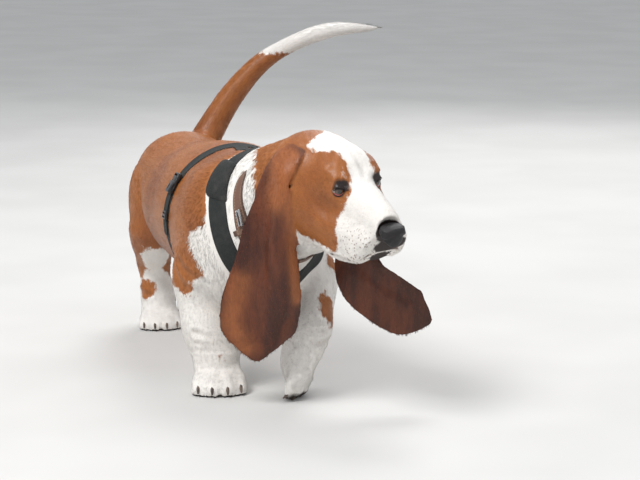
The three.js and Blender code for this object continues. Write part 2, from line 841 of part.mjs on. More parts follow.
for (const [name, from, to] of [
  ["right", 14, 62],
  ["left", -62, -14],
]) {
  const sleeve = band(standing, {
    ...neckLoop,
    width: 37,
    thick: 8.5,
    from,
    to,
    steps: 4,
    sunk: -1.2,
  });
  place(`harness_sleeve_${name}`, minus(sleeve, neckLoopCutter, trunkCutter), BLACK_WEB, 0.9);
}
place("collar", band(standing, collarLoop), BROWN_LEATHER, 0.55);

// A frame on the surface of a strap: +X along the strap, +Y across it, +Z outwards
function onStrap(form, loop, degrees, lift) {
  const normal = v(...loop.way).normalize();
  const high = v(0, 0, 1).addScaledVector(normal, -normal.z).normalize();
  const side = normal.clone().cross(high);
  const out = (turn) => {
    const ray = high
      .clone()
      .multiplyScalar(Math.cos(degToRad(turn)))
      .addScaledVector(side, Math.sin(degToRad(turn)));
    const far = reachOf(form, v(...loop.centre), ray, 280, 0);
    return v(...loop.centre).addScaledVector(ray, far + loop.thick + lift);
  };
  const along = out(degrees + 5).sub(out(degrees - 5)).normalize();
  const outward = along.clone().cross(normal).normalize();
  return new THREE.Matrix4()
    .makeBasis(along, outward.clone().cross(along), outward)
    .setPosition(out(degrees));
}
const block = (size, at, matrix) => {
  const box = new THREE.BoxGeometry(...size).translate(...at);
  return solid(box, matrix);
};

const buckleAt = onStrap(standing, girthLoop, 62, 0);
let buckle = block([34, 27, 9], [0, 0, 2.5], buckleAt);
buckle = joined(buckle, block([12, 31, 7], [-9, 0, 2.5], buckleAt));
buckle = minus(buckle, block([9, 14, 3], [6, 0, 7], buckleAt), girthCutter, trunkCutter);
place("girth_buckle", buckle, 0x1b1d20, 0.4);
const sliderAt = onStrap(standing, girthLoop, 88, 0);
let slider = block([12, 29, 6], [0, 0, 2], sliderAt);
slider = minus(slider, block([2.4, 22, 8], [0, 0, 3.4], sliderAt), girthCutter, trunkCutter);
place("girth_slider", slider, 0x1b1d20, 0.4);

const collarAt = onStrap(wholeForm, collarLoop, 92, 0);
const frame = minus(
  block([24, 25, 3.6], [0, 0, 2.2], collarAt),
  block([15, 17, 8], [1, 0, 2.2], collarAt),
);
const prong = block([20, 2.6, 2.2], [1, 0, 5.2], collarAt);
const prongFoot = block([3, 2.6, 4], [-10, 0, 4], collarAt);
place("collar_buckle", minus(joined(frame, prong, prongFoot), collarCutter, trunkCutter), STEEL, 0.25, 0.9);
const keeperAt = onStrap(wholeForm, collarLoop, 108, 0);
const keeper = minus(block([7, 20, 4], [0, 0, 0.6], keeperAt), collarCutter, trunkCutter);
place("collar_keeper", keeper, BROWN_LEATHER, 0.5);

// The part's origin is under the middle of its bounding box
const box = new THREE.Box3().setFromObject(group);
group.position.set(-(box.min.x + box.max.x) / 2, -(box.min.y + box.max.y) / 2, -box.min.z);

export default group;
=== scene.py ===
"""A life-size walking basset hound in a black harness and a brown collar, dressed over its frame."""

import logging
import math
from collections.abc import Iterable
from dataclasses import dataclass, replace
from enum import Enum

import bmesh
import bpy
import numpy as np
from mathutils import Euler, Matrix, Vector
from mathutils.bvhtree import BVHTree


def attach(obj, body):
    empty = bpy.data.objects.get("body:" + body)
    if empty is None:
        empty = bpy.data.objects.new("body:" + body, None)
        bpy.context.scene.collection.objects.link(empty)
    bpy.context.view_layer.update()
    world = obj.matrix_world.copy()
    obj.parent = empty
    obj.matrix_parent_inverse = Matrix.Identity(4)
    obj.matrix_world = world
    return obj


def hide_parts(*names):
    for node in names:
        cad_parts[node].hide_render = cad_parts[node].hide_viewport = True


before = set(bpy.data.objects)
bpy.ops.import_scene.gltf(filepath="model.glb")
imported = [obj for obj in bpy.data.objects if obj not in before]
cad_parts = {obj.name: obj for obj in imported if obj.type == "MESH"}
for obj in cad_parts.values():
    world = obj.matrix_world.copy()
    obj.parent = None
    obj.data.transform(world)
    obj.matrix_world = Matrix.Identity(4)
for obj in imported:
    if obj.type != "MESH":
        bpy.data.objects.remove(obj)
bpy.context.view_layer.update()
log = logging.getLogger("basset")

Triple = tuple[float, float, float]
Ball = tuple[Vector, float]
Socket = bpy.types.NodeSocket

MM = 0.001
MIDDLE = Vector((0.09656, -0.08691, 0.0))  # the dog's own origin, on the floor under the withers
HEAD = Matrix.Translation(Vector((136, 66, 416)) * MM + MIDDLE) @ Euler(
    (math.radians(8), math.radians(15), math.radians(17)), "XYZ"
).to_matrix().to_4x4()  # the head's own frame, tipped down and turned to the left
HEAD_OUT = np.array(HEAD)
HEAD_IN = np.array(HEAD.inverted())
EYE = (129.0, 27.0, -45.0)  # the left eye's middle in the head, in millimetres
EYE_RADIUS = 11.0
LID_START, LID_SWEEP, LID_SLANT = -18, 102, 8  # a lid's inner corner, length and slope, in degrees
COAT_STARTS = ("leg_", "paw_", "torso", "neck", "head", "lower_jaw", "ear_", "tail_")
COAT_NODES = tuple(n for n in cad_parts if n.startswith(COAT_STARTS))
STRAP_NODES = tuple(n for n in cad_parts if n.startswith(("harness_", "girth_", "collar")))
CLAW_NODES = tuple(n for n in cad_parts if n.startswith("claw_"))


class Region(Enum):
    """Parts of the body that wear the coat differently."""

    TRUNK = 0
    NECK = 1
    HEAD = 2
    EAR = 3
    LEG = 4
    PAW = 5
    TAIL = 6


REGION_STARTS = {
    "torso": Region.TRUNK,
    "neck": Region.NECK,
    "ear": Region.EAR,
    "leg": Region.LEG,
    "paw": Region.PAW,
    "tail": Region.TAIL,
}


def at(x: float, y: float, z: float) -> Vector:
    """A place in the dog's own millimetres, moved into the frame, in metres."""
    return Vector((x, y, z)) * MM + MIDDLE


def in_head(x: float, y: float, z: float) -> Vector:
    """A place in the head's millimetres, moved into the frame, in metres."""
    return HEAD @ (Vector((x, y, z)) * MM)


def to_dog(points: np.ndarray) -> np.ndarray:
    """Places in the frame, turned into the dog's own millimetres."""
    return (points - np.array(MIDDLE)) / MM


def to_head(points: np.ndarray) -> np.ndarray:
    """Places in the frame, turned into the head's millimetres."""
    return (points @ HEAD_IN[:3, :3].T + HEAD_IN[:3, 3]) / MM


def from_head(places: np.ndarray) -> np.ndarray:
    """Places in the head's millimetres, turned into the frame's metres."""
    return places * MM @ HEAD_OUT[:3, :3].T + HEAD_OUT[:3, 3]


def eye_middle(side: int) -> np.ndarray:
    """The middle of the left eye for side 1, and of the right one for -1."""
    return np.array(in_head(EYE[0], EYE[1] * side, EYE[2]))


def on_lid(side: int, t: float, drop: float, radius: float, start: float, sweep: float) -> Vector:
    """A place along a lid.

    Args:
        side: 1 for the left eye and -1 for the right one.
        t: 0 at the inner corner and 1 at the outer one.
        drop: how far above the eye's middle the lid runs, in degrees, and below it if negative.
        radius: the distance from the eye's middle, in millimetres.
        start: the direction of the inner corner, in degrees.
        sweep: how far round the lid goes, in degrees.

    Returns:
        The place in the frame, in metres.
    """
    yaw = math.radians(start + sweep * t)
    rise = math.radians(drop * math.sin(math.pi * t) ** 0.8 - LID_SLANT * t)
    return in_head(
        EYE[0] + radius * math.cos(yaw) * math.cos(rise),
        (EYE[1] + radius * math.sin(yaw) * math.cos(rise)) * side,
        EYE[2] + radius * math.sin(rise),
    )


def region_of(node: str) -> Region:
    """The region that a node of flesh belongs to."""
    return next((region for start, region in REGION_STARTS.items() if node.startswith(start)), Region.HEAD)


def deselect() -> None:
    """Deselects every object."""
    for o in bpy.context.selected_objects:
        o.select_set(False)


def active(obj: bpy.types.Object) -> bpy.types.Object:
    """Selects one object alone and makes it the active one."""
    deselect()
    obj.select_set(True)
    bpy.context.view_layer.objects.active = obj
    return obj


def smooth(obj: bpy.types.Object) -> None:
    """Shades an object smoothly."""
    active(obj)
    bpy.ops.object.shade_smooth()


def apply(obj: bpy.types.Object, kind: str, **values: object) -> None:
    """Adds a modifier and applies it.

    Args:
        obj: the object to change.
        kind: the modifier's type.
        values: the modifier's settings.
    """
    active(obj)
    modifier = obj.modifiers.new(kind.title(), kind)
    for key, value in values.items():
        setattr(modifier, key, value)
    bpy.ops.object.modifier_apply(modifier=modifier.name)


def combine(obj: bpy.types.Object, other: bpy.types.Object, how: str) -> None:
    """Adds one body to another or cuts it out, and removes it."""
    apply(obj, "BOOLEAN", operation=how, object=other, solver="EXACT")
    bpy.data.objects.remove(other)


def new_object(name: str, data: bpy.types.ID) -> bpy.types.Object:
    """Puts a mesh, a lamp or a camera into the scene as an object."""
    obj = bpy.data.objects.new(name, data)
    bpy.context.scene.collection.objects.link(obj)
    return obj


def mesh_from(name: str, points: np.ndarray, faces: list) -> bpy.types.Mesh:
    """Makes a mesh from points and faces, with its edges worked out."""
    mesh = bpy.data.meshes.new(name)
    mesh.from_pydata([tuple(p) for p in points], [], faces)
    mesh.update()
    return mesh


def settle(obj: bpy.types.Object, material: bpy.types.Material, slot: str, *nodes: str) -> None:
    """Gives a finished piece its material and its body, and hides the nodes that it stands for.

    Args:
        obj: the piece, already in place.
        material: its finish.
        slot: not used.
        nodes: the CAD nodes that it replaces.
    """
    obj.data.materials.clear()
    obj.data.materials.append(material)
    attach(obj, "root")
    if nodes:
        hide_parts(*nodes)
    log.info("%s: %d faces", obj.name, len(obj.data.polygons))


def vectors(items: bpy.types.bpy_prop_collection, key: str) -> np.ndarray:
    """One vector of each item, such as each vertex's place, as rows."""
    flat = np.empty(len(items) * 3, np.float32)
    items.foreach_get(key, flat)
    return flat.reshape(-1, 3).astype(float)


def points_of(mesh: bpy.types.Mesh) -> np.ndarray:
    """All vertex places of a mesh, one row each."""
    return vectors(mesh.vertices, "co")


def normals_of(mesh: bpy.types.Mesh) -> np.ndarray:
    """All vertex normals of a mesh, one row each."""
    return vectors(mesh.vertex_normals, "vector")


def set_points(mesh: bpy.types.Mesh, points: np.ndarray) -> None:
    """Moves all vertices of a mesh."""
    mesh.vertices.foreach_set("co", points.astype(np.float32).ravel())
    mesh.update()


def store(mesh: bpy.types.Mesh, name: str, values: np.ndarray) -> None:
    """Keeps one number for each vertex under a name that materials read."""
    layer = mesh.attributes.new(name, "FLOAT", "POINT")
    layer.data.foreach_set("value", values.astype(np.float32))


def mesh_tree(mesh: bpy.types.Mesh) -> BVHTree:
    """A search tree over a mesh."""
    points = [v.co.copy() for v in mesh.vertices]
    return BVHTree.FromPolygons(points, [list(f.vertices) for f in mesh.polygons])


def node_tree(nodes: Iterable[str]) -> tuple[BVHTree, list[str]]:
    """A search tree over CAD nodes.

    Args:
        nodes: the nodes' names.

    Returns:
        The tree, and the node that each of its faces comes from.
    """
    points, faces, owner = [], [], []
    for name in nodes:
        start = len(points)
        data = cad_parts[name].data
        points += [v.co.copy() for v in data.vertices]
        faces += [[start + i for i in p.vertices] for p in data.polygons]
        owner += [name] * len(data.polygons)
    return BVHTree.FromPolygons(points, faces), owner


def node_bmesh(nodes: Iterable[str]) -> bmesh.types.BMesh:
    """The meshes of some CAD nodes together, with points in one place merged."""
    bm = bmesh.new()
    for name in nodes:
        bm.from_mesh(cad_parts[name].data)
    bmesh.ops.remove_doubles(bm, verts=bm.verts, dist=1e-6)
    return bm


def bmesh_object(name: str, bm: bmesh.types.BMesh) -> bpy.types.Object:
    """Turns an editing mesh into an object of the scene."""
    mesh = bpy.data.meshes.new(name)
    bm.to_mesh(mesh)
    bm.free()
    return new_object(name, mesh)


def ramp(x: np.ndarray, low: float, high: float) -> np.ndarray:
    """Runs smoothly from 0 at low to 1 at high."""
    t = np.clip((x - low) / (high - low), 0, 1)
    return t * t * (3 - 2 * t)


def unit(rows: np.ndarray) -> np.ndarray:
    """Rows scaled to a length of 1."""
    return rows / np.linalg.norm(rows, axis=1)[:, None]


def apart(points: np.ndarray, centre: Triple, stretch: Triple = (1, 1, 1)) -> np.ndarray:
    """The distance of each point from a centre, with the axes stretched."""
    return np.linalg.norm((points - centre) * stretch, axis=1)


def to_line(points: np.ndarray, line: list[Vector]) -> np.ndarray:
    """The distance of each point from a line of straight runs."""
    best = np.full(len(points), 1e9)
    for a, b in zip(line[:-1], line[1:]):
        a, b = np.array(a), np.array(b)
        ab = b - a
        t = np.clip((points - a) @ ab / max(ab @ ab, 1e-12), 0, 1)
        best = np.minimum(best, np.linalg.norm(points - a - t[:, None] * ab, axis=1))
    return best


# ---------------------------------------------------------------- materials


def socket(sockets: Iterable[Socket], identifier: str) -> Socket:
    """The socket with an identifier, where several share a name."""
    return next(s for s in sockets if s.identifier == identifier)


class Finish:
    """Lays out the nodes of one material or of one group."""

    def __init__(self, tree: bpy.types.NodeTree) -> None:
        """Starts on a node tree."""
        self.tree = tree

    def node(self, kind: str, **values: object) -> bpy.types.Node:
        """Adds a node and sets its own options."""
        made = self.tree.nodes.new(kind)
        for key, value in values.items():
            setattr(made, key, value)
        return made

    def wire(self, a: Socket, b: Socket) -> None:
        """Joins an output to an input."""
        self.tree.links.new(a, b)

    def feed(self, target: Socket, value: Socket | float | Triple) -> None:
        """Joins a socket to an input, or sets it to a number or a colour."""
        if isinstance(value, Socket):
            self.wire(value, target)
        else:
            target.default_value = value if isinstance(value, (int, float)) else (*value, 1)

    def place(self) -> Socket:
        """The place on the object."""
        return self.node("ShaderNodeTexCoord").outputs["Object"]

    def attribute(self, name: str) -> Socket:
        """Reads a stored number."""
        return self.node("ShaderNodeAttribute", attribute_name=name).outputs["Fac"]

    def maths(self, how: str, a: Socket | float, b: Socket | float = 0.0) -> Socket:
        """A maths node on sockets or numbers."""
        made = self.node("ShaderNodeMath", operation=how)
        self.feed(made.inputs[0], a)
        self.feed(made.inputs[1], b)
        return made.outputs[0]

    def times(self, a: Socket, b: Socket | float) -> Socket:
        """The product of two numbers."""
        return self.maths("MULTIPLY", a, b)

    def wave(self, value: Socket, pitch: float) -> Socket:
        """A sine wave along a length."""
        return self.maths("SINE", self.times(value, 2 * math.pi / pitch))

    def swing(self, pattern: Socket, amount: float) -> Socket:
        """A pattern moved to swing about zero, by the amount in all."""
        return self.times(self.maths("SUBTRACT", pattern, 0.5), amount)

    def spread(self, value: Socket, low: float, high: float, start: float = 0, end: float = 1) -> Socket:
        """Maps a number smoothly from one range to another."""
        made = self.node("ShaderNodeMapRange", interpolation_type="SMOOTHSTEP")
        self.wire(value, made.inputs["Value"])
        for key, number in (("From Min", low), ("From Max", high), ("To Min", start), ("To Max", end)):
            made.inputs[key].default_value = number
        return made.outputs["Result"]

    def mix(
        self, share: Socket | float, a: Socket | Triple, b: Socket | Triple, blend: str = "MIX"
    ) -> Socket:
        """Mixes two colours, each a socket or a fixed colour."""
        made = self.node("ShaderNodeMix", data_type="RGBA", blend_type=blend)
        for name, value in (("Factor_Float", share), ("A_Color", a), ("B_Color", b)):
            self.feed(socket(made.inputs, name), value)
        return socket(made.outputs, "Result_Color")

    def noise(self, vector: Socket, scale: float, detail: float = 3, stretch: Triple = (1, 1, 1)) -> Socket:
        """A noise pattern, stretched along the axes."""
        mapping = self.node("ShaderNodeMapping")
        mapping.inputs["Scale"].default_value = stretch
        self.wire(vector, mapping.inputs["Vector"])
        made = self.node("ShaderNodeTexNoise")
        made.inputs["Scale"].default_value = scale
        made.inputs["Detail"].default_value = detail
        self.wire(mapping.outputs[0], made.inputs["Vector"])
        return made.outputs["Fac"]

    def cells(self, vector: Socket, scale: float) -> Socket:
        """A pattern of small cells, as the distance from their middles."""
        made = self.node("ShaderNodeTexVoronoi")
        made.inputs["Scale"].default_value = scale
        self.wire(vector, made.inputs["Vector"])
        return made.outputs["Distance"]

    def use(self, tree: bpy.types.NodeTree, vector: Socket) -> bpy.types.Node:
        """Adds a node group that works on a place."""
        made = self.node("ShaderNodeGroup", node_tree=tree)
        self.wire(vector, made.inputs["Vector"])
        return made

    def bump(self, shader: bpy.types.Node, height: Socket, strength: float, distance: float) -> None:
        """Gives a shader relief, its depth in metres."""
        made = self.node("ShaderNodeBump")
        made.inputs["Strength"].default_value = strength
        made.inputs["Distance"].default_value = distance
        self.wire(height, made.inputs["Height"])
        self.wire(made.outputs[0], shader.inputs["Normal"])


def blank(name: str) -> tuple[bpy.types.Material, Finish, bpy.types.Node]:
    """Starts a material.

    Args:
        name: the material's name.

    Returns:
        The material, its layout helper and its shader.
    """
    material = bpy.data.materials.new(name)
    material.use_nodes = True
    return material, Finish(material.node_tree), material.node_tree.nodes["Principled BSDF"]


def group(name: str, inputs: dict[str, object], outputs: dict[str, str]) -> tuple[Finish, dict, dict]:
    """Starts a shader node group with named inputs and outputs.

    Args:
        name: the group's name.
        inputs: input names with their starting value; a 3-tuple is a vector, a 4-tuple a colour.
        outputs: output names with their socket type, Float or Color.

    Returns:
        The helper, the inner input sockets and the inner output sockets.
    """
    tree = bpy.data.node_groups.new(name, "ShaderNodeTree")
    kinds = {0: "Float", 3: "Vector", 4: "Color"}
    for key, value in inputs.items():
        kind = "NodeSocket" + kinds[len(value) if isinstance(value, tuple) else 0]
        tree.interface.new_socket(key, in_out="INPUT", socket_type=kind).default_value = value
    for key, kind in outputs.items():
        tree.interface.new_socket(key, in_out="OUTPUT", socket_type="NodeSocket" + kind)
    f = Finish(tree)
    enter, leave = f.node("NodeGroupInput"), f.node("NodeGroupOutput")
    return f, enter.outputs, leave.inputs


def fur_grain_group() -> bpy.types.NodeTree:
    """Fine hairs that lie along the body, as a height and a shade."""
    inputs = {"Vector": (0.0, 0.0, 0.0), "Upright": 0.0, "Fineness": 1.0}
    f, i, o = group("Fur grain", inputs, {"Height": "Float", "Shade": "Float"})
    scaled = f.node("ShaderNodeVectorMath", operation="SCALE")
    f.wire(i["Vector"], scaled.inputs[0])
    f.wire(i["Fineness"], scaled.inputs["Scale"])
    mixed = f.node("ShaderNodeMix", data_type="FLOAT")
    f.wire(i["Upright"], mixed.inputs["Factor"])
    for key, stretch in (("A", (0.12, 1, 0.7)), ("B", (1, 1, 0.12))):
        f.wire(f.noise(scaled.outputs[0], 900, 2, stretch), mixed.inputs[key])
    clumps = f.noise(i["Vector"], 120, 3, (0.4, 1, 0.6))
    f.wire(f.maths("ADD", mixed.outputs[0], f.times(clumps, 0.6)), o["Height"])
    f.wire(f.times(mixed.outputs[0], f.maths("ADD", clumps, 0.5)), o["Shade"])
    return f.tree


MARKS = ("Rust", "Ear", "Pale", "Bare", "Freckle", "Tone", "Crease")


@dataclass(frozen=True)
class CoatColours:
    """The colours of hair and skin, and of painted shade, as linear red, green and blue."""

    rust: Triple = (0.370, 0.118, 0.024)
    rust_deep: Triple = (0.235, 0.064, 0.015)
    rust_tip: Triple = (0.50, 0.19, 0.055)
    white: Triple = (0.86, 0.82, 0.77)
    white_dull: Triple = (0.78, 0.72, 0.65)
    white_tip: Triple = (0.90, 0.875, 0.84)
    chestnut_deep: Triple = (0.048, 0.011, 0.005)
    chestnut: Triple = (0.135, 0.033, 0.011)
    chestnut_tip: Triple = (0.150, 0.040, 0.014)
    chestnut_pale: Triple = (0.34, 0.105, 0.030)
    fleck: Triple = (0.20, 0.115, 0.085)
    # dark bare skin, also used as painted shade on the hanging paw's underside
    bare: Triple = (0.020, 0.012, 0.010)
    # painted shade, laid along the folds and between the toes
    crease: Triple = (0.16, 0.075, 0.045)

    def group(self) -> bpy.types.NodeTree:
        """Rust and white with ragged borders, dark ears, freckles, painted shade in the creases, and dark bare
        skin that also serves as painted shade under the hanging paw.
        """
        inputs = {"Vector": (0.0, 0.0, 0.0), **{mark: 0.0 for mark in MARKS}}
        f, i, o = group("Coat markings", inputs, {"Colour": "Color", "Rust share": "Float"})
        place = i["Vector"]
        ragged = f.noise(place, 160, 4, (0.5, 1, 0.7))
        border = f.maths("ADD", i["Rust"], f.swing(ragged, 0.55))
        border = f.maths("ADD", border, f.swing(f.noise(place, 22, 2), 0.18))
        share = f.spread(border, -0.09, 0.09)
        patches = f.noise(place, 9, 3)
        tone = f.spread(i["Tone"], 0.0, 1.0)
        rust = f.mix(f.spread(patches, 0.35, 0.7), self.rust, self.rust_deep)
        rust = f.mix(tone, rust, f.mix(0.5, rust, self.rust_tip))
        white = f.mix(f.spread(patches, 0.3, 0.8), self.white, self.white_dull)
        coat = f.mix(share, f.mix(tone, white, self.white_tip), rust)
        streaks = f.noise(place, 45, 4, (1, 1, 0.25))
        chestnut = f.mix(f.spread(streaks, 0.35, 0.7), self.chestnut_deep, self.chestnut)
        chestnut = f.mix(f.spread(i["Tone"], 0.3, 1.0), chestnut, self.chestnut_tip)
        chestnut = f.mix(f.spread(i["Pale"], 0.0, 1.0), chestnut, self.chestnut_pale)
        coat = f.mix(f.spread(i["Ear"], 0.25, 0.75), coat, chestnut)
        dots = f.maths("ADD", f.cells(place, 210), f.times(ragged, 0.25))
        coat = f.mix(f.times(f.spread(dots, 0.34, 0.46, 1, 0), i["Freckle"]), coat, self.fleck)
        # dark bare skin, and painted shade on the hanging paw
        frayed = f.spread(f.maths("ADD", i["Bare"], f.swing(ragged, 0.7)), 0.25, 0.75)
        coat = f.mix(f.times(frayed, f.spread(i["Bare"], 0.02, 0.2)), coat, self.bare)
        # painted shade: the coat is darkened along the folds and the toe clefts
        f.wire(f.mix(f.times(i["Crease"], 0.6), coat, self.crease), o["Colour"])
        f.wire(share, o["Rust share"])
        return f.tree


@dataclass(frozen=True)
class CoatFinish:
    """The short coat, on the skin and on its tufts."""

    name: str
    roughness: float = 0.46
    bump: float = 0.3
    grain: float = 1.0

    def make(self, markings: bpy.types.NodeTree, grain: bpy.types.NodeTree) -> bpy.types.Material:
        """Makes the material from the two groups."""
        material, f, shader = blank(self.name)
        place = f.place()
        paint = f.use(markings, place)
        for mark in MARKS:
            f.wire(f.attribute(mark.lower()), paint.inputs[mark])
        hair = f.use(grain, place)
        f.wire(f.attribute("upright"), hair.inputs["Upright"])
        hair.inputs["Fineness"].default_value = self.grain
        rust = paint.outputs["Rust share"]
        tint = f.node("ShaderNodeCombineColor")
        shade = f.spread(hair.outputs["Shade"], 0.25, 0.75, 0.55, 1.15)
        for channel in ("Red", "Green", "Blue"):
            f.wire(shade, tint.inputs[channel])
        shaded = f.mix(f.spread(rust, 0, 1, 0.18, 0.4), paint.outputs["Colour"], tint.outputs[0], "MULTIPLY")
        f.wire(shaded, shader.inputs["Base Color"])
        rough = f.spread(rust, 0, 1, self.roughness + 0.12, self.roughness - 0.09)
        f.wire(rough, shader.inputs["Roughness"])
        shader.inputs["Specular IOR Level"].default_value = 0.42
        f.bump(shader, hair.outputs["Height"], self.bump, 0.0012)
        return material


def wear_group() -> bpy.types.NodeTree:
    """Grime and rubbing that vary over a made surface."""
    inputs = {
        "Vector": (0.0, 0.0, 0.0),
        "Colour": (0.1, 0.1, 0.1, 1.0),
        "Dust": (0.3, 0.27, 0.24, 1.0),
        "Amount": 0.3,
    }
    f, i, o = group("Rubbed and dusty", inputs, {"Colour": "Color", "Patch": "Float"})
    patch = f.spread(f.noise(i["Vector"], 60, 4), 0.45, 0.8)
    fine = f.spread(f.noise(i["Vector"], 700, 2), 0.4, 0.75)
    both = f.times(f.maths("ADD", patch, f.times(fine, 0.5)), i["Amount"])
    f.wire(f.mix(both, i["Colour"], i["Dust"]), o["Colour"])
    f.wire(patch, o["Patch"])
    return f.tree


class Ply(Enum):
    """What a strap or fitting is made of."""

    WEBBING = "webbing"
    LEATHER = "leather"
    PLASTIC = "plastic"
    STEEL = "steel"


RIB_PITCH, PICK_PITCH, STITCH_PITCH = 0.0016, 0.0022, 0.0042
STITCH_LINE = 0.0048  # from the collar's middle, in metres


@dataclass(frozen=True)
class MadeFinish:
    """A finish of the harness or the collar."""

    name: str
    ply: Ply
    colour: Triple
    dust: Triple
    roughness: float
    metallic: float = 0.0
    amount: float = 0.3

    def make(self, wear: bpy.types.NodeTree) -> bpy.types.Material:
        """Makes the material from the wear group, with weave, grain or scuffs."""
        material, f, shader = blank(self.name)
        rubbed = f.use(wear, f.place())
        f.feed(rubbed.inputs["Colour"], self.colour)
        f.feed(rubbed.inputs["Dust"], self.dust)
        rubbed.inputs["Amount"].default_value = self.amount
        colour, height, depth = self._relief(f, rubbed.outputs["Colour"])
        f.wire(colour, shader.inputs["Base Color"])
        rough = f.spread(rubbed.outputs["Patch"], 0, 1, self.roughness, min(1.0, self.roughness + 0.15))
        f.wire(rough, shader.inputs["Roughness"])
        shader.inputs["Metallic"].default_value = self.metallic
        f.bump(shader, height, 0.7, depth)
        return material

    def _relief(self, f: Finish, colour: Socket) -> tuple[Socket, Socket, float]:
        """Weave with painted shade in its hollows, or stitched leather, on the strap's lengthwise map, or fine
        scuffs.

        Args:
            f: the layout helper.
            colour: the worn colour.

        Returns:
            The colour, the height and the height's depth in metres.
        """
        if self.ply in (Ply.PLASTIC, Ply.STEEL):
            scuffs = f.noise(f.place(), 1500 if self.ply is Ply.PLASTIC else 500, 3, (1, 1, 0.3))
            return colour, scuffs, 0.0001
        split = f.node("ShaderNodeSeparateXYZ")
        f.wire(f.node("ShaderNodeUVMap", uv_map="Along").outputs[0], split.inputs[0])
        u, v = split.outputs["X"], split.outputs["Y"]
        if self.ply is Ply.WEBBING:
            rib = f.wave(u, RIB_PITCH)
            height = f.maths("ADD", f.times(rib, f.wave(v, PICK_PITCH)), f.times(rib, 0.4))
            # painted shade: the weave's low points are darkened towards black
            return f.mix(f.spread(height, -1.2, 1.2, 0.45, 0), colour, (0.004, 0.005, 0.005)), height, 0.0004
        off = f.maths("ABSOLUTE", v)
        colour = f.mix(f.times(f.spread(off, 0.0052, 0.0072), 0.7), colour, (0.045, 0.022, 0.015))
        from_seam = f.maths("ABSOLUTE", f.maths("SUBTRACT", off, STITCH_LINE))
        stitch = f.times(
            f.spread(from_seam, 0.0003, 0.0006, 1, 0), f.spread(f.wave(u, STITCH_PITCH), -0.2, 0.2)
        )
        return f.mix(stitch, colour, (0.30, 0.20, 0.13)), f.cells(f.place(), 900), 0.0002


@dataclass(frozen=True)
class WetFinish:
    """Eye, nose, lid and claw: smooth or finely pebbled, with its own colours."""

    name: str
    colour: Triple
    other: Triple
    roughness: float
    scale: float
    pebble: float
    coat: float = 0.0

    def make(self) -> bpy.types.Material:
        """Makes the material."""
        material, f, shader = blank(self.name)
        blotch = f.spread(f.noise(f.place(), self.scale, 3), 0.35, 0.7)
        f.wire(f.mix(blotch, self.colour, self.other), shader.inputs["Base Color"])
        rough = f.spread(blotch, 0, 1, self.roughness, self.roughness * 1.35)
        f.wire(rough, shader.inputs["Roughness"])
        shader.inputs["Coat Weight"].default_value = self.coat
        shader.inputs["Coat Roughness"].default_value = 0.06
        f.bump(shader, f.cells(f.place(), 620), 0.8, self.pebble)
        return material


# ---------------------------------------------------------------- the hide


@dataclass(frozen=True)
class Fold:
    """A crease or a raised fold of skin along a line, in millimetres, with shade painted along it."""

    line: tuple[Triple, ...]
    depth: float
    width: float
    # how strongly shade is painted along the fold; 1.0 also marks the dark lip line
    dark: float
    in_head: bool = False
    push: Triple | None = None

    def places(self) -> list[Vector]:
        """The line's places in the frame."""
        return [in_head(*p) if self.in_head else at(*p) for p in self.line]

    def pair(self) -> tuple["Fold", "Fold"]:
        """The fold, and the same one on the other side of the head."""
        return self, replace(self, line=tuple((x, -y, z) for x, y, z in self.line))


LIP_LINE = ((216, 14, -110), (198, 30, -122), (174, 40, -134), (150, 45, -138), (128, 44, -134))
FACE_FOLDS = (
    Fold(LIP_LINE, 1.8, 2.4, 1.0, True),
    Fold(((118, 30, -66), (140, 36, -92), (150, 43, -120)), 1.6, 4.0, 0.3, True),
    Fold(((100, 44, -60), (112, 46, -96), (112, 48, -128)), 1.5, 5.0, 0.2, True),
    Fold(((96, 6, -4), (118, 9, -14), (138, 8, -28)), 1.1, 4.0, 0.1, True),
    Fold(((70, -10, -2), (92, -24, -10), (112, -32, -16)), 1.0, 4.5, 0.1, True),
)
BODY_FOLDS = (
    Fold(((52, -92, 62), (66, -78, 60), (74, -58, 58), (68, -38, 60)), 3.6, 3.2, 0.6),
    Fold(((46, -92, 76), (62, -80, 74), (66, -58, 72), (60, -38, 74)), 3.0, 3.6, 0.5),
    Fold(((40, -94, 92), (54, -82, 88), (58, -60, 88), (52, -40, 90)), 2.4, 4.2, 0.4),
    Fold(((100, 98, 86), (118, 84, 84), (122, 66, 88)), 1.6, 4.0, 0.4),
    Fold(((96, 100, 104), (112, 88, 100), (118, 66, 104)), 1.4, 4.5, 0.3),
    Fold(((-462, -98, 62), (-440, -112, 60), (-418, -98, 58)), 1.5, 4.0, 0.4),
    Fold(((20, -112, 196), (44, -100, 176), (62, -84, 168)), 2.2, 6.0, 0.3),
    Fold(((-30, -118, 210), (0, -122, 186), (24, -108, 158)), 2.0, 7.0, 0.2),
    Fold(((112, -20, 300), (136, 8, 262), (150, 50, 240), (156, 92, 248)), 2.4, 6.0, 0.2),
    Fold(((100, -40, 262), (126, -6, 226), (136, 44, 208)), 2.0, 7.0, 0.2),
    Fold(((-356, -110, 190), (-330, -104, 214), (-300, -100, 250)), 1.6, 8.0, 0.1),
)
OUT, BACKWARDS = (0.75, -0.65, 0), (-0.75, 0.65, 0)
EAR_FOLDS = (
    Fold(((203, 34, 372), (194, 24, 300), (186, 20, 230), (178, 18, 150)), 5.0, 9.0, 0.0, push=OUT),
    Fold(((186, -6, 330), (172, -14, 262), (166, -12, 180), (158, -16, 100)), 5.0, 12.0, 0.0, push=BACKWARDS),
    Fold(((160, -40, 240), (150, -52, 170), (150, -40, 110)), 5.0, 12.0, 0.0, push=OUT),
    Fold(((180, 112, 200), (192, 150, 172), (198, 190, 150)), 4.0, 10.0, 0.0, push=(0.8, 0.1, 0.6)),
)
PAWS = ((30, -57, -7, 1.0), (-431, -80, -6, 0.88), (-493, -9, 3, 0.88))  # x, y, turn and size, standing
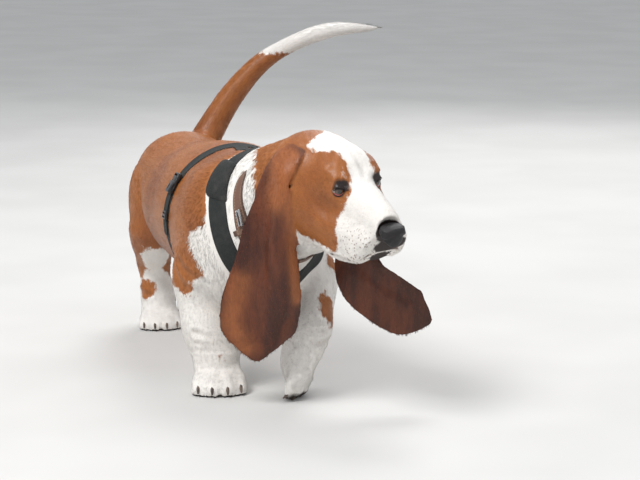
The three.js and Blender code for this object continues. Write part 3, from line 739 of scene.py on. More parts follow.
HANGING_PAW = Vector((92, 34, 44))
PALE_LINES = (
    (((196, 22, 372), (196, 26, 300), (188, 28, 220), (182, 34, 168)), 0.012, 1.0),
    (((150, -44, 190), (148, -60, 130), (150, -40, 92)), 0.020, 0.75),
    (((178, 6, 380), (196, -4, 350), (190, 0, 320)), 0.028, 1.0),
)  # line, width in metres and strength, on the ears


def toe_clefts() -> list[Fold]:
    """The clefts between the toes of the three paws that stand and of the one that hangs."""
    out = []
    for px, py, yaw, size in PAWS:
        turn = Matrix.Rotation(math.radians(yaw), 3, "Z")
        for y in (-20, 0, 20):
            wide = abs(y)
            line = []
            tips = ((38 - wide * 0.3, 19), (46 - wide * 0.35, 10), (48 - wide * 0.35, 1))
            for x, z in ((12, 31), (26, 26), *tips):
                p = turn @ Vector((x * size, y * size * (0.8 + x / 200), 0))
                line.append((px + p.x, py + p.y, z * size))
            out.append(Fold(tuple(line), 4.4, 3.4, 0.7))
    toes = Vector((0.22, 0.05, -1)).normalized()
    across = Vector((0.55, 0.8, 0.1)).cross(toes).normalized()
    top = toes.cross(across)
    for y in (-18, 0, 18):
        wide = abs(y)
        line = []
        for x, z in ((12, 29), (26, 24), (38 - wide * 0.3, 17), (46 - wide * 0.3, 8), (47 - wide * 0.3, -2)):
            line.append(tuple(HANGING_PAW + toes * x * 0.92 + across * y * 0.85 + top * z * 0.92))
        out.append(Fold(tuple(line), 3.2, 2.6, 0.7))
    return out


FOLDS = (*(f for fold in FACE_FOLDS for f in fold.pair()), *BODY_FOLDS, *EAR_FOLDS, *toe_clefts())


def beads(line: list[Ball], step: float) -> list[Ball]:
    """Fills a line of places and radii with overlapping balls.

    Args:
        line: places with their radii, in metres.
        step: the spacing, as a share of the radius.

    Returns:
        The places and radii of all the balls.
    """
    out = []
    for (a, ra), (b, rb) in zip(line[:-1], line[1:]):
        count = max(2, int((b - a).length / (step * min(ra, rb))) + 1)
        out += [(a.lerp(b, k / count), ra + (rb - ra) * k / count) for k in range(count + 1)]
    return out


@dataclass(frozen=True)
class Nap:
    """How skin and coat are in one region.

    The skin has a share of softening and a share of the coat's depth. The tufts have a length
    and a width in millimetres, a lift in degrees and a density.
    """

    soft: float
    deep: float
    length: float
    width: float
    lift: float
    density: float


NAPS = {
    Region.TRUNK: Nap(0.5, 1.0, 9.0, 0.78, 2.6, 1.1),
    Region.NECK: Nap(0.5, 1.0, 8.5, 0.75, 3.0, 1.2),
    Region.HEAD: Nap(0.22, 0.35, 3.8, 0.62, 4.5, 1.7),
    Region.EAR: Nap(0.42, 0.7, 3.8, 0.7, 2.0, 1.15),
    Region.LEG: Nap(0.38, 0.8, 5.5, 0.6, 2.5, 1.35),
    Region.PAW: Nap(0.10, 0.45, 3.8, 0.65, 6, 1.9),
    Region.TAIL: Nap(0.42, 0.9, 8.0, 0.8, 4, 1.8),
}


def nap(key: str, region: np.ndarray) -> np.ndarray:
    """One measure of the nap for each row's region."""
    return np.array([getattr(NAPS[r], key) for r in Region])[region]


@dataclass
class Hide:
    """The one skin of the whole dog, and what every point of it wears."""

    grain: float = 0.0023
    grow: float = 0.0007
    coat_depth: float = 0.0019
    budget: int = 186000

    def __post_init__(self) -> None:
        """Readies the search for the nearest flesh."""
        self.tree, self.owner = node_tree(COAT_NODES)

    def build(self) -> bpy.types.Object:
        """Joins the flesh, closes its gaps, softens it, folds it and paints it.

        Returns:
            The skin's object.
        """
        obj = self._joined()
        apply(obj, "REMESH", mode="VOXEL", voxel_size=self.grain)
        log.info("remeshed to %d faces", len(obj.data.polygons))
        self._label(obj.data)
        set_points(obj.data, self._softened(obj.data))
        set_points(obj.data, self._creased(obj.data))
        depth = nap("deep", self.region) * self.coat_depth
        set_points(obj.data, points_of(obj.data) - normals_of(obj.data) * depth[:, None])
        triangles = sum(len(p.vertices) - 2 for p in obj.data.polygons)
        apply(obj, "DECIMATE", ratio=min(1.0, self.budget / triangles))
        smooth(obj)
        self._label(obj.data)
        self._paint(obj.data)
        return obj

    def _joined(self) -> bpy.types.Object:
        """All the flesh, grown a little so that it meets, and the added forms."""
        bm = node_bmesh(COAT_NODES)
        bm.normal_update()
        for v in bm.verts:
            v.co += v.normal * self.grow
        forms = [ball for side in (1, -1) for ball in self._face(side)] + self._wrist() + self._knuckles()
        for place, radius in forms:
            bmesh.ops.create_icosphere(bm, subdivisions=2, radius=radius, matrix=Matrix.Translation(place))
        return bmesh_object("skin", bm)

    def _face(self, side: int) -> list[Ball]:
        """The lids and the hanging lip of one side."""
        out = []
        for drop, heavy, stand in ((38, 2.6, 0.4), (-47, 2.8, 0.9)):
            arc = []
            for k in range(13):
                t = k / 12
                bow = math.sin(math.pi * t)
                place = on_lid(side, t, drop, EYE_RADIUS + 1.3 + stand * bow, LID_START, LID_SWEEP)
                arc.append((place, (1.3 + (heavy - 1.3) * bow) * MM))
            out += beads(arc, 0.5)
        lip = ((205, 14, -104, 0.015), (180, 27, -126, 0.014), (152, 31, -134, 0.014))
        return out + beads([(in_head(x, y * side, z), radius) for x, y, z, radius in lip], 0.4)

    def _wrist(self) -> list[Ball]:
        """The roll of loose skin round the standing wrist."""
        out = []
        for k in range(26):
            a = 2 * math.pi * k / 26
            out.append((at(15 + 32 * math.cos(a), -63 + 31 * math.sin(a), 69 + 3 * math.cos(a)), 7 * MM))
        return out

    def _knuckles(self) -> list[Ball]:
        """The toes of the paws that stand."""
        out = []
        for px, py, yaw, size in PAWS:
            turn = Matrix.Rotation(math.radians(yaw), 3, "Z")
            for x, y, r in ((30, -29, 11.4), (40, -10.5, 12.2), (40, 10.5, 12.2), (30, 29, 11.4)):
                line = []
                for back, z, thin in ((26, 24, 0.72), (12, 21, 0.86), (0, 13.5, 1.0)):
                    p = turn @ Vector(((x - back) * size, y * (1 - back / 90) * size, 0))
                    line.append((at(px + p.x, py + p.y, z * size), r * thin * size * MM))
                out += beads(line, 0.35)
        return out

    def _label(self, mesh: bpy.types.Mesh) -> None:
        """Works out which region each vertex belongs to, by the nearest flesh of the frame."""
        self.names = np.array([self.owner[self.tree.find_nearest(v.co)[2]] for v in mesh.vertices])
        lookup = {n: region_of(n).value for n in COAT_NODES}
        self.region = np.array([lookup[n] for n in self.names])

    def _around(self, mesh: bpy.types.Mesh) -> tuple[np.ndarray, np.ndarray, np.ndarray]:
        """The mesh's edges both ways, and how many neighbours each vertex has."""
        edges = np.empty(len(mesh.edges) * 2, np.int32)
        mesh.edges.foreach_get("vertices", edges)
        edges = edges.reshape(-1, 2)
        a = np.concatenate((edges[:, 0], edges[:, 1]))
        b = np.concatenate((edges[:, 1], edges[:, 0]))
        return a, b, np.maximum(np.bincount(a, minlength=len(mesh.vertices)), 1)

    def _average(self, values: np.ndarray, around: tuple, rounds: int = 1) -> np.ndarray:
        """Each vertex's mean of its neighbours, taken once or more often."""
        a, b, count = around
        for _ in range(rounds):
            if values.ndim == 1:
                values = np.bincount(a, values[b], len(count)) / count
            else:
                values = np.stack([np.bincount(a, column[b], len(count)) / count for column in values.T], 1)
        return values

    def _softened(self, mesh: bpy.types.Mesh) -> np.ndarray:
        """Evens out the facets, most on the trunk and least on the face, the lids and the toes."""
        around = self._around(mesh)
        share = nap("soft", self.region)
        p = points_of(mesh)
        for side in (1, -1):
            share *= 0.12 + 0.88 * ramp(np.linalg.norm(p - eye_middle(side), axis=1), 0.015, 0.026)
        share = self._average(share, around, 12)
        for _ in range(40):
            p += (self._average(p, around) - p) * share[:, None]
        for side in (1, -1):
            self._open_lids(p, side)
        return p

    def _open_lids(self, p: np.ndarray, side: int) -> None:
        """Keeps the skin off one eyeball, and moves it behind the eyeball between the lids."""
        eye = eye_middle(side)
        clear, behind = EYE_RADIUS + 0.35, 9.7
        away = p - eye
        far = np.linalg.norm(away, axis=1)
        near = far < clear * MM
        p[near] = eye + away[near] / far[near, None] * clear * MM
        local = away @ HEAD_OUT[:3, :3] / np.maximum(far, 1e-9)[:, None]
        t = (np.degrees(np.arctan2(local[:, 1] * side, local[:, 0])) - LID_START) / LID_SWEEP
        rise = np.degrees(np.arcsin(np.clip(local[:, 2], -1, 1))) + LID_SLANT * t
        bow = np.sin(math.pi * np.clip(t, 0, 1)) ** 0.8
        slit = (t > 0.03) & (t < 0.97) & (rise < 27 * bow) & (rise > -36 * bow) & (far < 0.021)
        p[slit] = eye + away[slit] / far[slit, None] * behind * MM

    def _creased(self, mesh: bpy.types.Mesh) -> np.ndarray:
        """Presses the folds in, with a soft roll on each side, and trims the muzzle's front."""
        p, n = points_of(mesh), normals_of(mesh)
        move = np.zeros(len(p))
        bend = np.zeros_like(p)
        for fold in FOLDS:
            d = to_line(p, fold.places()) / (fold.width * MM)
            if fold.push:
                inside = np.exp(-d * d) * self._in(Region.EAR)
                bend += np.array(fold.push) * fold.depth * MM * inside[:, None]
            else:
                move -= fold.depth * MM * (np.exp(-d * d) - 0.55 * np.exp(-((d - 2.1) ** 2)))
        head = to_head(p + (n * move[:, None] + bend))
        front = np.interp(head[:, 2], (-150, -126, -112, -98, -86, -60), (182, 198, 209, 214, 220, 240))
        over = (head[:, 0] - front) * self._in(Region.HEAD)
        head[:, 0] -= np.where(over > 0, over * 0.92, 0)
        return from_head(head)

    def _in(self, region: Region) -> np.ndarray:
        """Which vertices are in a region."""
        return self.region == region.value

    def _paint(self, mesh: bpy.types.Mesh) -> None:
        """Keeps on every vertex what the coat's colour and lie need."""
        p = points_of(mesh)
        around = self._around(mesh)
        dog, head = to_dog(p), to_head(p)
        x, y, z = dog.T
        names = self.names.astype(str)
        legs = np.char.startswith(names, "leg_") | np.char.startswith(names, "paw_")
        fore, hind = legs & (x > -100), legs & (x < -200)
        left_hind = hind & (y >= -44)
        ear = self._average(self._in(Region.EAR).astype(float), around, 3)
        rust = self._average(self._rust(dog, head, fore, hind & (y < -44), left_hind), around, 3)
        pale = sum(
            strength * np.exp(-((to_line(p, [at(*q) for q in line]) / width) ** 2))
            for line, width, strength in PALE_LINES
        )
        near = [(f, to_line(p, f.places()) / (f.width * MM)) for f in FOLDS]
        # painted shade along every fold and between the toes
        crease = np.maximum.reduce([f.dark * np.exp(-d * d) for f, d in near])
        lips = [np.exp(-((d / 0.8) ** 2)) for f, d in near if f.in_head and f.dark == 1.0]
        bare = np.maximum.reduce([*lips, *self._bare(dog, head)])
        freckle = np.maximum.reduce((
            0.75 * ramp(head[:, 0], 150, 185) * self._in(Region.HEAD) * ramp(-head[:, 2], 60, 100),
            0.9 * left_hind * (z < 170),
            0.14 * (fore & (z < 150)),
        ))
        throat = (x > 60) & (self.region <= Region.NECK.value)
        upright = np.select([legs | (ear > 0.5) | throat, self._in(Region.TAIL)], [1.0, 0.7], 0.0)
        self.marks = {
            "rust": np.clip(rust / 30, -1, 1),
            "ear": ear,
            "pale": np.clip(pale, 0, 1),
            "bare": np.clip(bare, 0, 1),
            "freckle": np.clip(freckle, 0, 1),
            "crease": np.clip(crease, 0, 1),
            "upright": self._average(upright, around, 8),
            "tone": np.full(len(p), 0.4),
        }
        for name, values in self.marks.items():
            store(mesh, name, values)

    def _rust(
        self, dog: np.ndarray, head: np.ndarray, fore: np.ndarray, right_hind: np.ndarray, left_hind: np.ndarray
    ) -> np.ndarray:
        """How far each vertex is inside the rust patches, in millimetres, below zero where it is white.

        Args:
            dog: the vertices in the dog's millimetres.
            head: the same in the head's.
            fore: which of them are on the fore legs.
            right_hind: which are on the right hind leg.
            left_hind: which are on the left hind leg.

        Returns:
            The depths.
        """
        x, y, z = dog.T
        hx, hy, hz = head.T
        edge_z = (100, 150, 172, 185, 203, 224, 251, 260, 284, 319, 338, 380)
        edge = np.interp(z, edge_z, (0, 20, 36, 61, 58, 48, 52, 76, 76, 62, 52, 28))
        rust = np.minimum(edge - x, z - np.interp(x, (-420, -300, -120, 0, 40), (100, 128, 118, 128, 150)))
        rust = np.where(fore, np.minimum(rust, z - 156), rust)
        for centre, radius, stretch in (
            ((24, -104, 163), 15, (0.8, 1, 1)),
            ((96, 104, 138), 20, (1, 1, 0.6)),
            ((58, -58, 55), 6, (1, 0.6, 1.4)),
        ):
            rust = np.maximum(rust, radius - apart(dog, centre, stretch))
        hock = 17 - apart(dog, (-430, -104, 66), (1, 0.8, 1))
        behind = np.minimum(-np.interp(z, (40, 90, 125, 150), (450, 437, 392, 352)) - x, z - 84)
        rust = np.where(right_hind, np.maximum.reduce((z - 152, behind, hock)), rust)
        rust = np.where(left_hind, z - 190, rust)
        rust = np.where(self._in(Region.TAIL), 468 - z, rust)
        nape_front = np.interp(z, (300, 318, 349, 364, 375, 400), (160, 146, 128, 114, 72, 60))
        nape = np.minimum(x - nape_front, 44 - y)
        rust = np.where(self._in(Region.NECK), np.maximum(np.minimum(rust, 45 - x), nape), rust)
        front_z = (-140, -125, -100, -77, -60, -40, -21, -4)
        front = np.interp(hz, front_z, (152, 157, 157, 147, 152, 151, 132, 112))
        top_x = (0, 30, 40, 48, 60, 74, 88, 105, 129, 150, 170)
        top = np.interp(hx, top_x, (6, 4, -8, -36, -37, -29, -19, -11, -9, -19, -30))
        right_low = np.interp(hx, (40, 90, 150), (104, 128, 130))
        right = np.minimum.reduce((front - hx, top - hy, hz + right_low))
        left_top = np.interp(hx, (0, 30, 45, 80, 110, 130, 150), (14, 20, 34, 35, 29, 23, 27))
        left_low = np.interp(hx, (40, 90, 150), (104, 122, 116))
        left = np.minimum.reduce((front - 2 - hx, hy - left_top, hz + left_low))
        rust = np.where(self._in(Region.HEAD), np.maximum(right, left), rust)
        return np.where(self._in(Region.EAR), 25.0, rust)

    def _bare(self, dog: np.ndarray, head: np.ndarray) -> list[np.ndarray]:
        """How bare and dark the skin is round the eyes, at the nose, the mouth and the pads, with painted shade
        over the hanging paw's underside and lowest part.

        Args:
            dog: the vertices in the dog's millimetres.
            head: the same in the head's.

        Returns:
            One share for each vertex and place.
        """
        x, _, z = dog.T
        hanging = self.names == "paw_fore_left"
        out = [
            0.9 * (self._in(Region.PAW) & (z < 3.2)),
            # the hanging paw's back: its dark pads, with painted shade over the whole underside
            hanging * (0.85 * ramp(96 - x, 4, 12) * ramp(60 - z, 0, 25)),
            # the hanging paw's lowest part: its dark toes, with painted shade near the floor
            hanging * (0.75 * ramp(20 - z, 0, 16)),
            1 - ramp(apart(head, (228, 0, -78), (1, 0.95, 1)), 18, 23),
            1 - ramp(apart(head, (213, 8, -104), (1, 0.5, 1)), 10, 17),
            (self.names == "lower_jaw") * ramp(head[:, 0], 122, 138) * ramp(head[:, 2], -152, -142),
        ]
        for side in (1, -1):
            corner = (EYE[0] + 8, (EYE[1] + 0.5) * side, EYE[2] + 5)
            out.append(0.85 * (1 - ramp(apart(head, corner, (1, 0.85, 0.95)), 5, 18)))
        return out


# ---------------------------------------------------------------- the coat


STRAP_GAP, EYE_GAP, GROUND_GAP = 0.0042, 0.0155, 0.005  # how far roots stay away, in metres
MUZZLE = (232, 0, -60)
SWIRL = (((37, 11, 23), 0), ((-19, 41, 13), 2), ((13, -29, 37), 4))
RUFFLE = (((170, 90, -120), 1), ((-140, 160, 60), 3), ((80, -130, 190), 5))
TUFT_FACES = np.array(
    (
        *((0, 1, 2), (0, 2, 5), (0, 5, 3), (2, 1, 4), (2, 4, 5)),
        *((1, 0, 3), (1, 3, 4), (3, 5, 6), (5, 4, 6), (4, 3, 6)),
    )
)
TUFT_MAP = np.array(((0, 0), (1, 0), (0.5, 0.3), (0, 0.6), (1, 0.6), (0.5, 0.7), (0.5, 1))) * 0.003 - 0.0015
TUFT_TILT = np.array((-0.3, 0.3, 0.0, -0.3, 0.3, 0.0, 0.0))[None, :, None]


@dataclass(frozen=True)
class Roots:
    """Where the tufts grow, one row each."""

    place: np.ndarray
    normal: np.ndarray
    region: np.ndarray
    marks: dict[str, np.ndarray]

    def of(self, rows: np.ndarray | slice) -> "Roots":
        """Some of the roots."""
        marks = {key: values[rows] for key, values in self.marks.items()}
        return Roots(self.place[rows], self.normal[rows], self.region[rows], marks)


def waves(p: np.ndarray, terms: tuple) -> np.ndarray:
    """One smooth wave through space for each axis."""
    return np.stack([np.sin(p @ np.array(way) + start) for way, start in terms], 1)


@dataclass
class Coat:
    """Thin overlapping tufts that lie along the body, as joined meshes."""

    hide: Hide
    skin: bpy.types.Object
    count: int = 104000
    spare: float = 1.12
    most: int = 19500
    seed: int = 7

    def build(self) -> list[bpy.types.Object]:
        """Grows the tufts and splits them into pieces.

        Returns:
            The coat's pieces.
        """
        rng = np.random.default_rng(self.seed)
        roots = self._roots(rng)
        flow, unwrap = self._lie(roots), self._unwrap(roots.place)
        pieces = []
        for k, start in enumerate(range(0, len(roots.place), self.most)):
            part = slice(start, start + self.most)
            pieces.append(self._tufts(f"coat_{k + 1}", roots.of(part), flow[part], unwrap[part], rng))
        return pieces

    def _roots(self, rng: np.random.Generator) -> Roots:
        """Sows the roots over the skin, in the order of regions and of their place along the dog."""
        mesh = self.skin.data
        mesh.calc_loop_triangles()
        tri = np.empty(len(mesh.loop_triangles) * 3, np.int32)
        mesh.loop_triangles.foreach_get("vertices", tri)
        tri = tri.reshape(-1, 3)
        p = points_of(mesh)
        a, b, c = (p[tri[:, k]] for k in range(3))
        region = self.hide.region[tri[:, 0]]
        want = np.linalg.norm(np.cross(b - a, c - a), axis=1) / 2 * nap("density", region)
        pick = rng.choice(len(tri), int(self.count * self.spare), p=want / want.sum())
        u, v = rng.random(len(pick)), rng.random(len(pick))
        flip = u + v > 1
        u[flip], v[flip] = 1 - u[flip], 1 - v[flip]
        share = np.stack((1 - u - v, u, v), 1)

        def at_roots(values: np.ndarray) -> np.ndarray:
            """Values at the roots, from the corners of their triangles."""
            corner = values[tri[pick]]
            return (corner * (share if corner.ndim == 2 else share[:, :, None])).sum(1)

        marks = {key: at_roots(values) for key, values in self.hide.marks.items()}
        roots = Roots(at_roots(p), unit(at_roots(normals_of(mesh))), region[pick], marks)
        roots = roots.of(self._allowed(roots))
        return roots.of(np.lexsort((roots.place[:, 0], roots.region)))

    def _allowed(self, roots: Roots) -> np.ndarray:
        """Which roots stay clear of the straps, the eyes, the nose, the claws, bare skin and the painted shade
        under the hanging paw.
        """
        tree, _ = node_tree((*STRAP_NODES, *CLAW_NODES, "nose"))
        keep = np.array([tree.find_nearest(Vector(r), STRAP_GAP)[0] is None for r in roots.place])
        for side in (1, -1):
            eye = np.array(in_head(EYE[0] + 3, (EYE[1] + 2) * side, EYE[2]))
            keep &= np.linalg.norm(roots.place - eye, axis=1) > EYE_GAP
        return keep & (roots.marks["bare"] < 0.6) & (roots.place[:, 2] > GROUND_GAP)

    def _lie(self, roots: Roots) -> np.ndarray:
        """Which way the hair lies: back along the trunk, down the legs and ears, out along the tail."""
        x, _, z = to_dog(roots.place).T
        region = roots.region
        guide = np.tile((-1.0, 0.0, -0.28), (len(x), 1))
        guide[:, 2] -= 0.5 * ramp(-z, -210, -130)
        down = np.array((-0.35, 0.0, -1.0))
        for share in (ramp(x, 10, 90), ramp(-x, 330, 420) * ramp(-z, -300, -220)):
            guide = guide * (1 - share[:, None]) + down * share[:, None]
        guide[region == Region.LEG.value] = (-0.18, 0.0, -1.0)
        guide[region == Region.PAW.value] = (0.9, 0.0, -0.5)
        guide[region == Region.EAR.value] = (0.1, 0.0, -1.0)
        tail = region == Region.TAIL.value
        curl = np.interp(z[tail], (290, 400, 510), (0.15, 0.75, 1.3))
        rise = np.interp(z[tail], (290, 500), (1.0, 0.35))
        guide[tail] = np.stack((np.full(len(rise), 0.2), curl, rise), 1)
        head = region == Region.HEAD.value
        local = to_head(roots.place[head])
        away = local - np.array(MUZZLE)
        away[:, 0] -= 60
        away[:, 2] -= 34 * ramp(-local[:, 2], 90, 130)
        guide[head] = away @ HEAD_OUT[:3, :3].T
        guide = unit(guide) + (waves(roots.place, SWIRL) * 0.10 + waves(roots.place, RUFFLE) * 0.07)
        flow = guide - roots.normal * (guide * roots.normal).sum(1)[:, None]
        return flow / np.maximum(np.linalg.norm(flow, axis=1), 1e-6)[:, None]

    def _unwrap(self, root: np.ndarray) -> np.ndarray:
        """Each root's place on a flat unwrap of the skin's own shape."""
        low = new_object("unwrap", self.skin.data.copy())
        apply(low, "DECIMATE", ratio=0.05)
        active(low)
        bpy.ops.object.mode_set(mode="EDIT")
        bpy.ops.mesh.select_all(action="SELECT")
        bpy.ops.uv.smart_project(angle_limit=math.radians(66), island_margin=0.004)
        bpy.ops.object.mode_set(mode="OBJECT")
        mesh = low.data
        uv = np.empty(len(mesh.loops) * 2, np.float32)
        mesh.uv_layers.active.data.foreach_get("uv", uv)
        uv = uv.reshape(-1, 2)
        p, tree = points_of(mesh), mesh_tree(mesh)
        hits = [tree.find_nearest(Vector(r)) for r in root]
        where, face = np.array([h[0] for h in hits]), np.array([h[2] for h in hits])
        starts = np.array([f.loop_start for f in mesh.polygons])[face]
        corner = np.array([list(f.vertices)[:3] for f in mesh.polygons])[face]
        a, b, c = (p[corner[:, k]] for k in range(3))
        e1, e2, w = b - a, c - a, where - a
        d11, d12, d22 = (e1 * e1).sum(1), (e1 * e2).sum(1), (e2 * e2).sum(1)
        w1, w2 = (w * e1).sum(1), (w * e2).sum(1)
        den = np.maximum(d11 * d22 - d12 * d12, 1e-18)
        s = np.clip((d22 * w1 - d12 * w2) / den, 0, 1)[:, None]
        t = np.clip((d11 * w2 - d12 * w1) / den, 0, 1)[:, None]
        bpy.data.objects.remove(low)
        return uv[starts] * (1 - s - t) + uv[starts + 1] * s + uv[starts + 2] * t

    def _tufts(
        self, name: str, roots: Roots, flow: np.ndarray, unwrap: np.ndarray, rng: np.random.Generator
    ) -> bpy.types.Object:
        """Makes one piece of the coat: three-sided tufts with a bend and a fine tip.

        Args:
            name: the piece's name.
            roots: where its tufts grow.
            flow: which way each one lies.
            unwrap: each one's place on the skin's unwrap.
            rng: the source of small differences.

        Returns:
            The piece.
        """
        normal, region, count = roots.normal, roots.region, len(roots.place)
        x, _, z = to_dog(roots.place).T
        tail = region == Region.TAIL.value
        rear = ramp(-x, 400, 450) * (z < 300) * (z > 110) * ~tail
        plume = tail * ramp(-normal[:, 0], -0.2, 0.8)
        belly = (region == Region.TRUNK.value) * ramp(-normal[:, 2], 0.5, 0.95)
        border = (1 - np.abs(np.clip(roots.marks["rust"] * 2.2, -1, 1))) * (region <= Region.NECK.value)
        length = nap("length", region) * MM * (1 + 0.5 * rear + 0.3 * plume + 0.4 * belly + 0.3 * border)
        lift = np.radians(nap("lift", region))
        lift += np.radians(8) * rear + np.radians(8) * plume + np.radians(6) * belly
        length *= rng.uniform(0.7, 1.2, count)
        lift += np.radians(rng.normal(0, 2.5, count))
        flow = unit(flow + np.cross(flow, normal) * rng.normal(0, 0.11, count)[:, None])
        side = np.cross(flow, normal)
        w, l = (nap("width", region) * MM * rng.uniform(0.7, 1.15, count))[:, None], length[:, None]
        up, ahead = np.sin(lift)[:, None], np.cos(lift)[:, None]
        base = roots.place - normal * 0.0007
        middle = roots.place + flow * l * 0.5 * ahead + normal * (l * 0.56 * up + 0.0003)
        sway = side * l * rng.normal(0, 0.05, count)[:, None]
        tip = roots.place + flow * l * ahead + normal * (l * 0.72 * up) + sway
        low = (base - side * w * 0.42, base + side * w * 0.42, base + normal * w * 0.45)
        high = (middle - side * w * 0.5, middle + side * w * 0.5, middle + normal * w * 0.3)
        points = np.stack((*low, *high, tip), 1).reshape(-1, 3)
        index = (np.arange(count)[:, None, None] * 7 + TUFT_FACES[None]).reshape(-1)
        mesh = bpy.data.meshes.new(name)
        mesh.vertices.add(count * 7)
        mesh.vertices.foreach_set("co", points.astype(np.float32).ravel())
        mesh.loops.add(len(index))
        mesh.loops.foreach_set("vertex_index", index.astype(np.int32))
        mesh.polygons.add(len(index) // 3)
        mesh.polygons.foreach_set("loop_start", np.arange(0, len(index), 3, dtype=np.int32))
        mesh.update(calc_edges=True)
        mesh.polygons.foreach_set("use_smooth", np.ones(len(index) // 3, bool))
        uv = (unwrap[:, None, :] + TUFT_MAP[None]).reshape(-1, 2)[index]
        mesh.uv_layers.new(name="OFBake").data.foreach_set("uv", uv.astype(np.float32).ravel())
        for key, values in {**roots.marks, "tone": rng.random(count)}.items():
            store(mesh, key, np.repeat(values, 7))
        mesh.validate()
        shading = normal[:, None, :] + side[:, None, :] * TUFT_TILT
        shading /= np.linalg.norm(shading, axis=2)[:, :, None]
        mesh.normals_split_custom_set_from_vertices(shading.reshape(-1, 3).tolist())
        return new_object(name, mesh)


# ---------------------------------------------------------------- eyes, nose and claws


LID_SKIN = WetFinish("lid skin", (0.010, 0.007, 0.007), (0.022, 0.013, 0.012), 0.5, 300, 0.0001)
WET_HAW = WetFinish("wet haw", (0.36, 0.085, 0.070), (0.22, 0.045, 0.042), 0.18, 260, 0.00005, 0.6)
NOSE_LEATHER = WetFinish("nose leather", (0.006, 0.005, 0.006), (0.016, 0.013, 0.014), 0.5, 90, 0.0003)
CLAW_HORN = WetFinish("claw horn", (0.050, 0.034, 0.026), (0.16, 0.115, 0.085), 0.32, 70, 0.00008, 0.2)


@dataclass
class Eyes:
    """The two eyeballs, with a bulged cornea, a dark iris and a wet lower lid."""

    radius: float = EYE_RADIUS * MM
    gaze: float = math.radians(24.0)

    def build(self) -> None:
        """Makes both eyes and their rims."""
        finish, rim, haw = self._finish(), LID_SKIN.make(), WET_HAW.make()
        for name, side in (("left", 1), ("right", -1)):
            deselect()
            bpy.ops.mesh.primitive_uv_sphere_add(segments=48, ring_count=32, radius=self.radius)
            eye = bpy.context.object
            eye.name = f"eyeball_{name}"
            ahead = Vector((math.cos(self.gaze), side * math.sin(self.gaze), -0.02))
            look = (HEAD.to_3x3() @ ahead).normalized()
            p = points_of(eye.data)
            turn = p @ np.array(look) / self.radius
            p *= (1 + ramp(turn, 0.84, 0.97) * 0.06)[:, None]
            set_points(eye.data, p + eye_middle(side))
            store(eye.data, "iris", np.degrees(np.arccos(np.clip(turn, -1, 1))))
            smooth(eye)
            settle(eye, finish, "eye_surface", f"eye_{name}")
            self._arc(f"lid_rim_upper_{name}", side, 25, 0.9, 1.0, rim)
            self._arc(f"lid_rim_lower_{name}", side, -37, 1.4, 1.0, rim)
            self._arc(f"haw_{name}", side, -27, -0.6, 2.0, haw)

    def _arc(
        self, name: str, side: int, drop: float, off: float, thick: float, paint: bpy.types.Material
    ) -> None:
        """A tapered roll along one lid.

        Args:
            name: the piece's name.
            side: 1 for the left eye and -1 for the right one.
            drop: how far above or below the eye's middle it runs, in degrees.
            off: how far outside the eyeball it runs, in millimetres.
            thick: its radius in the middle, in millimetres.
            paint: its finish.
        """
        sides, count = 10, 28
        centre = eye_middle(side)
        start, sweep = LID_START + 2, LID_SWEEP - 6
        path = [
            np.array(on_lid(side, k / count, drop, EYE_RADIUS + off, start, sweep)) for k in range(count + 1)
        ]
        rings = []
        for k, here in enumerate(path):
            along = path[min(k + 1, count)] - path[max(k - 1, 0)]
            along /= np.linalg.norm(along)
            out = here - centre
            out /= np.linalg.norm(out)
            across = np.cross(along, out)
            size = max(0.15, math.sin(math.pi * k / count) ** 0.6) * thick * MM
            turns = np.arange(sides) * 2 * math.pi / sides
            rings.append([here + size * (math.cos(a) * out + math.sin(a) * across) for a in turns])
        faces = [face for face, _, _ in tube_faces(count + 1, sides, closed=False)]
        obj = new_object(name, mesh_from(name, [q for ring in rings for q in ring], faces))
        outward(obj)
        settle(obj, paint, "nose_leather")

    def _finish(self) -> bpy.types.Material:
        """A deep brown iris with a black pupil and a dark ring, and a reddened white."""
        material, f, shader = blank("eye")
        ring = f.attribute("iris")
        rays = f.noise(f.place(), 900, 3)
        iris = f.mix(f.spread(rays, 0.3, 0.7), (0.055, 0.022, 0.009), (0.115, 0.048, 0.018))
        iris = f.mix(f.spread(ring, 26, 35), iris, (0.010, 0.006, 0.005))
        inner = f.mix(f.spread(ring, 13, 15.5), (0.002, 0.002, 0.002), iris)
        white = f.mix(f.spread(rays, 0.45, 0.75), (0.42, 0.33, 0.28), (0.32, 0.13, 0.10))
        f.wire(f.mix(f.spread(ring, 36, 40), inner, white), shader.inputs["Base Color"])
        f.wire(f.spread(ring, 30, 45, 0.04, 0.12), shader.inputs["Roughness"])
        shader.inputs["Coat Weight"].default_value = 1.0
        shader.inputs["Coat Roughness"].default_value = 0.02
        return material


def tube_faces(count: int, sides: int, closed: bool) -> list[tuple[tuple[int, ...], int, int]]:
    """The faces of a tube that goes through rings of points.

    Args:
        count: how many rings there are.
        sides: how many points each ring has.
        closed: true when the last ring joins the first; otherwise both ends are capped.

    Returns:
        Each face's points, its ring and its place round the ring; the caps have place -1.
    """
    faces = []
    for k in range(count if closed else count - 1):
        n = (k + 1) % count
        for j in range(sides):
            m = (j + 1) % sides
            faces.append(((k * sides + j, k * sides + m, n * sides + m, n * sides + j), k, j))
    if not closed:
        last = count - 1
        faces.append((tuple(range(sides))[::-1], 0, -1))
        faces.append((tuple(last * sides + j for j in range(sides)), last, -1))
    return faces


def outward(obj: bpy.types.Object) -> None:
    """Turns all faces outwards and smooths the shading."""
    active(obj)
    bpy.ops.object.mode_set(mode="EDIT")
    bpy.ops.mesh.select_all(action="SELECT")
    bpy.ops.mesh.normals_make_consistent(inside=False)
    bpy.ops.object.mode_set(mode="OBJECT")
    bpy.ops.object.shade_smooth()


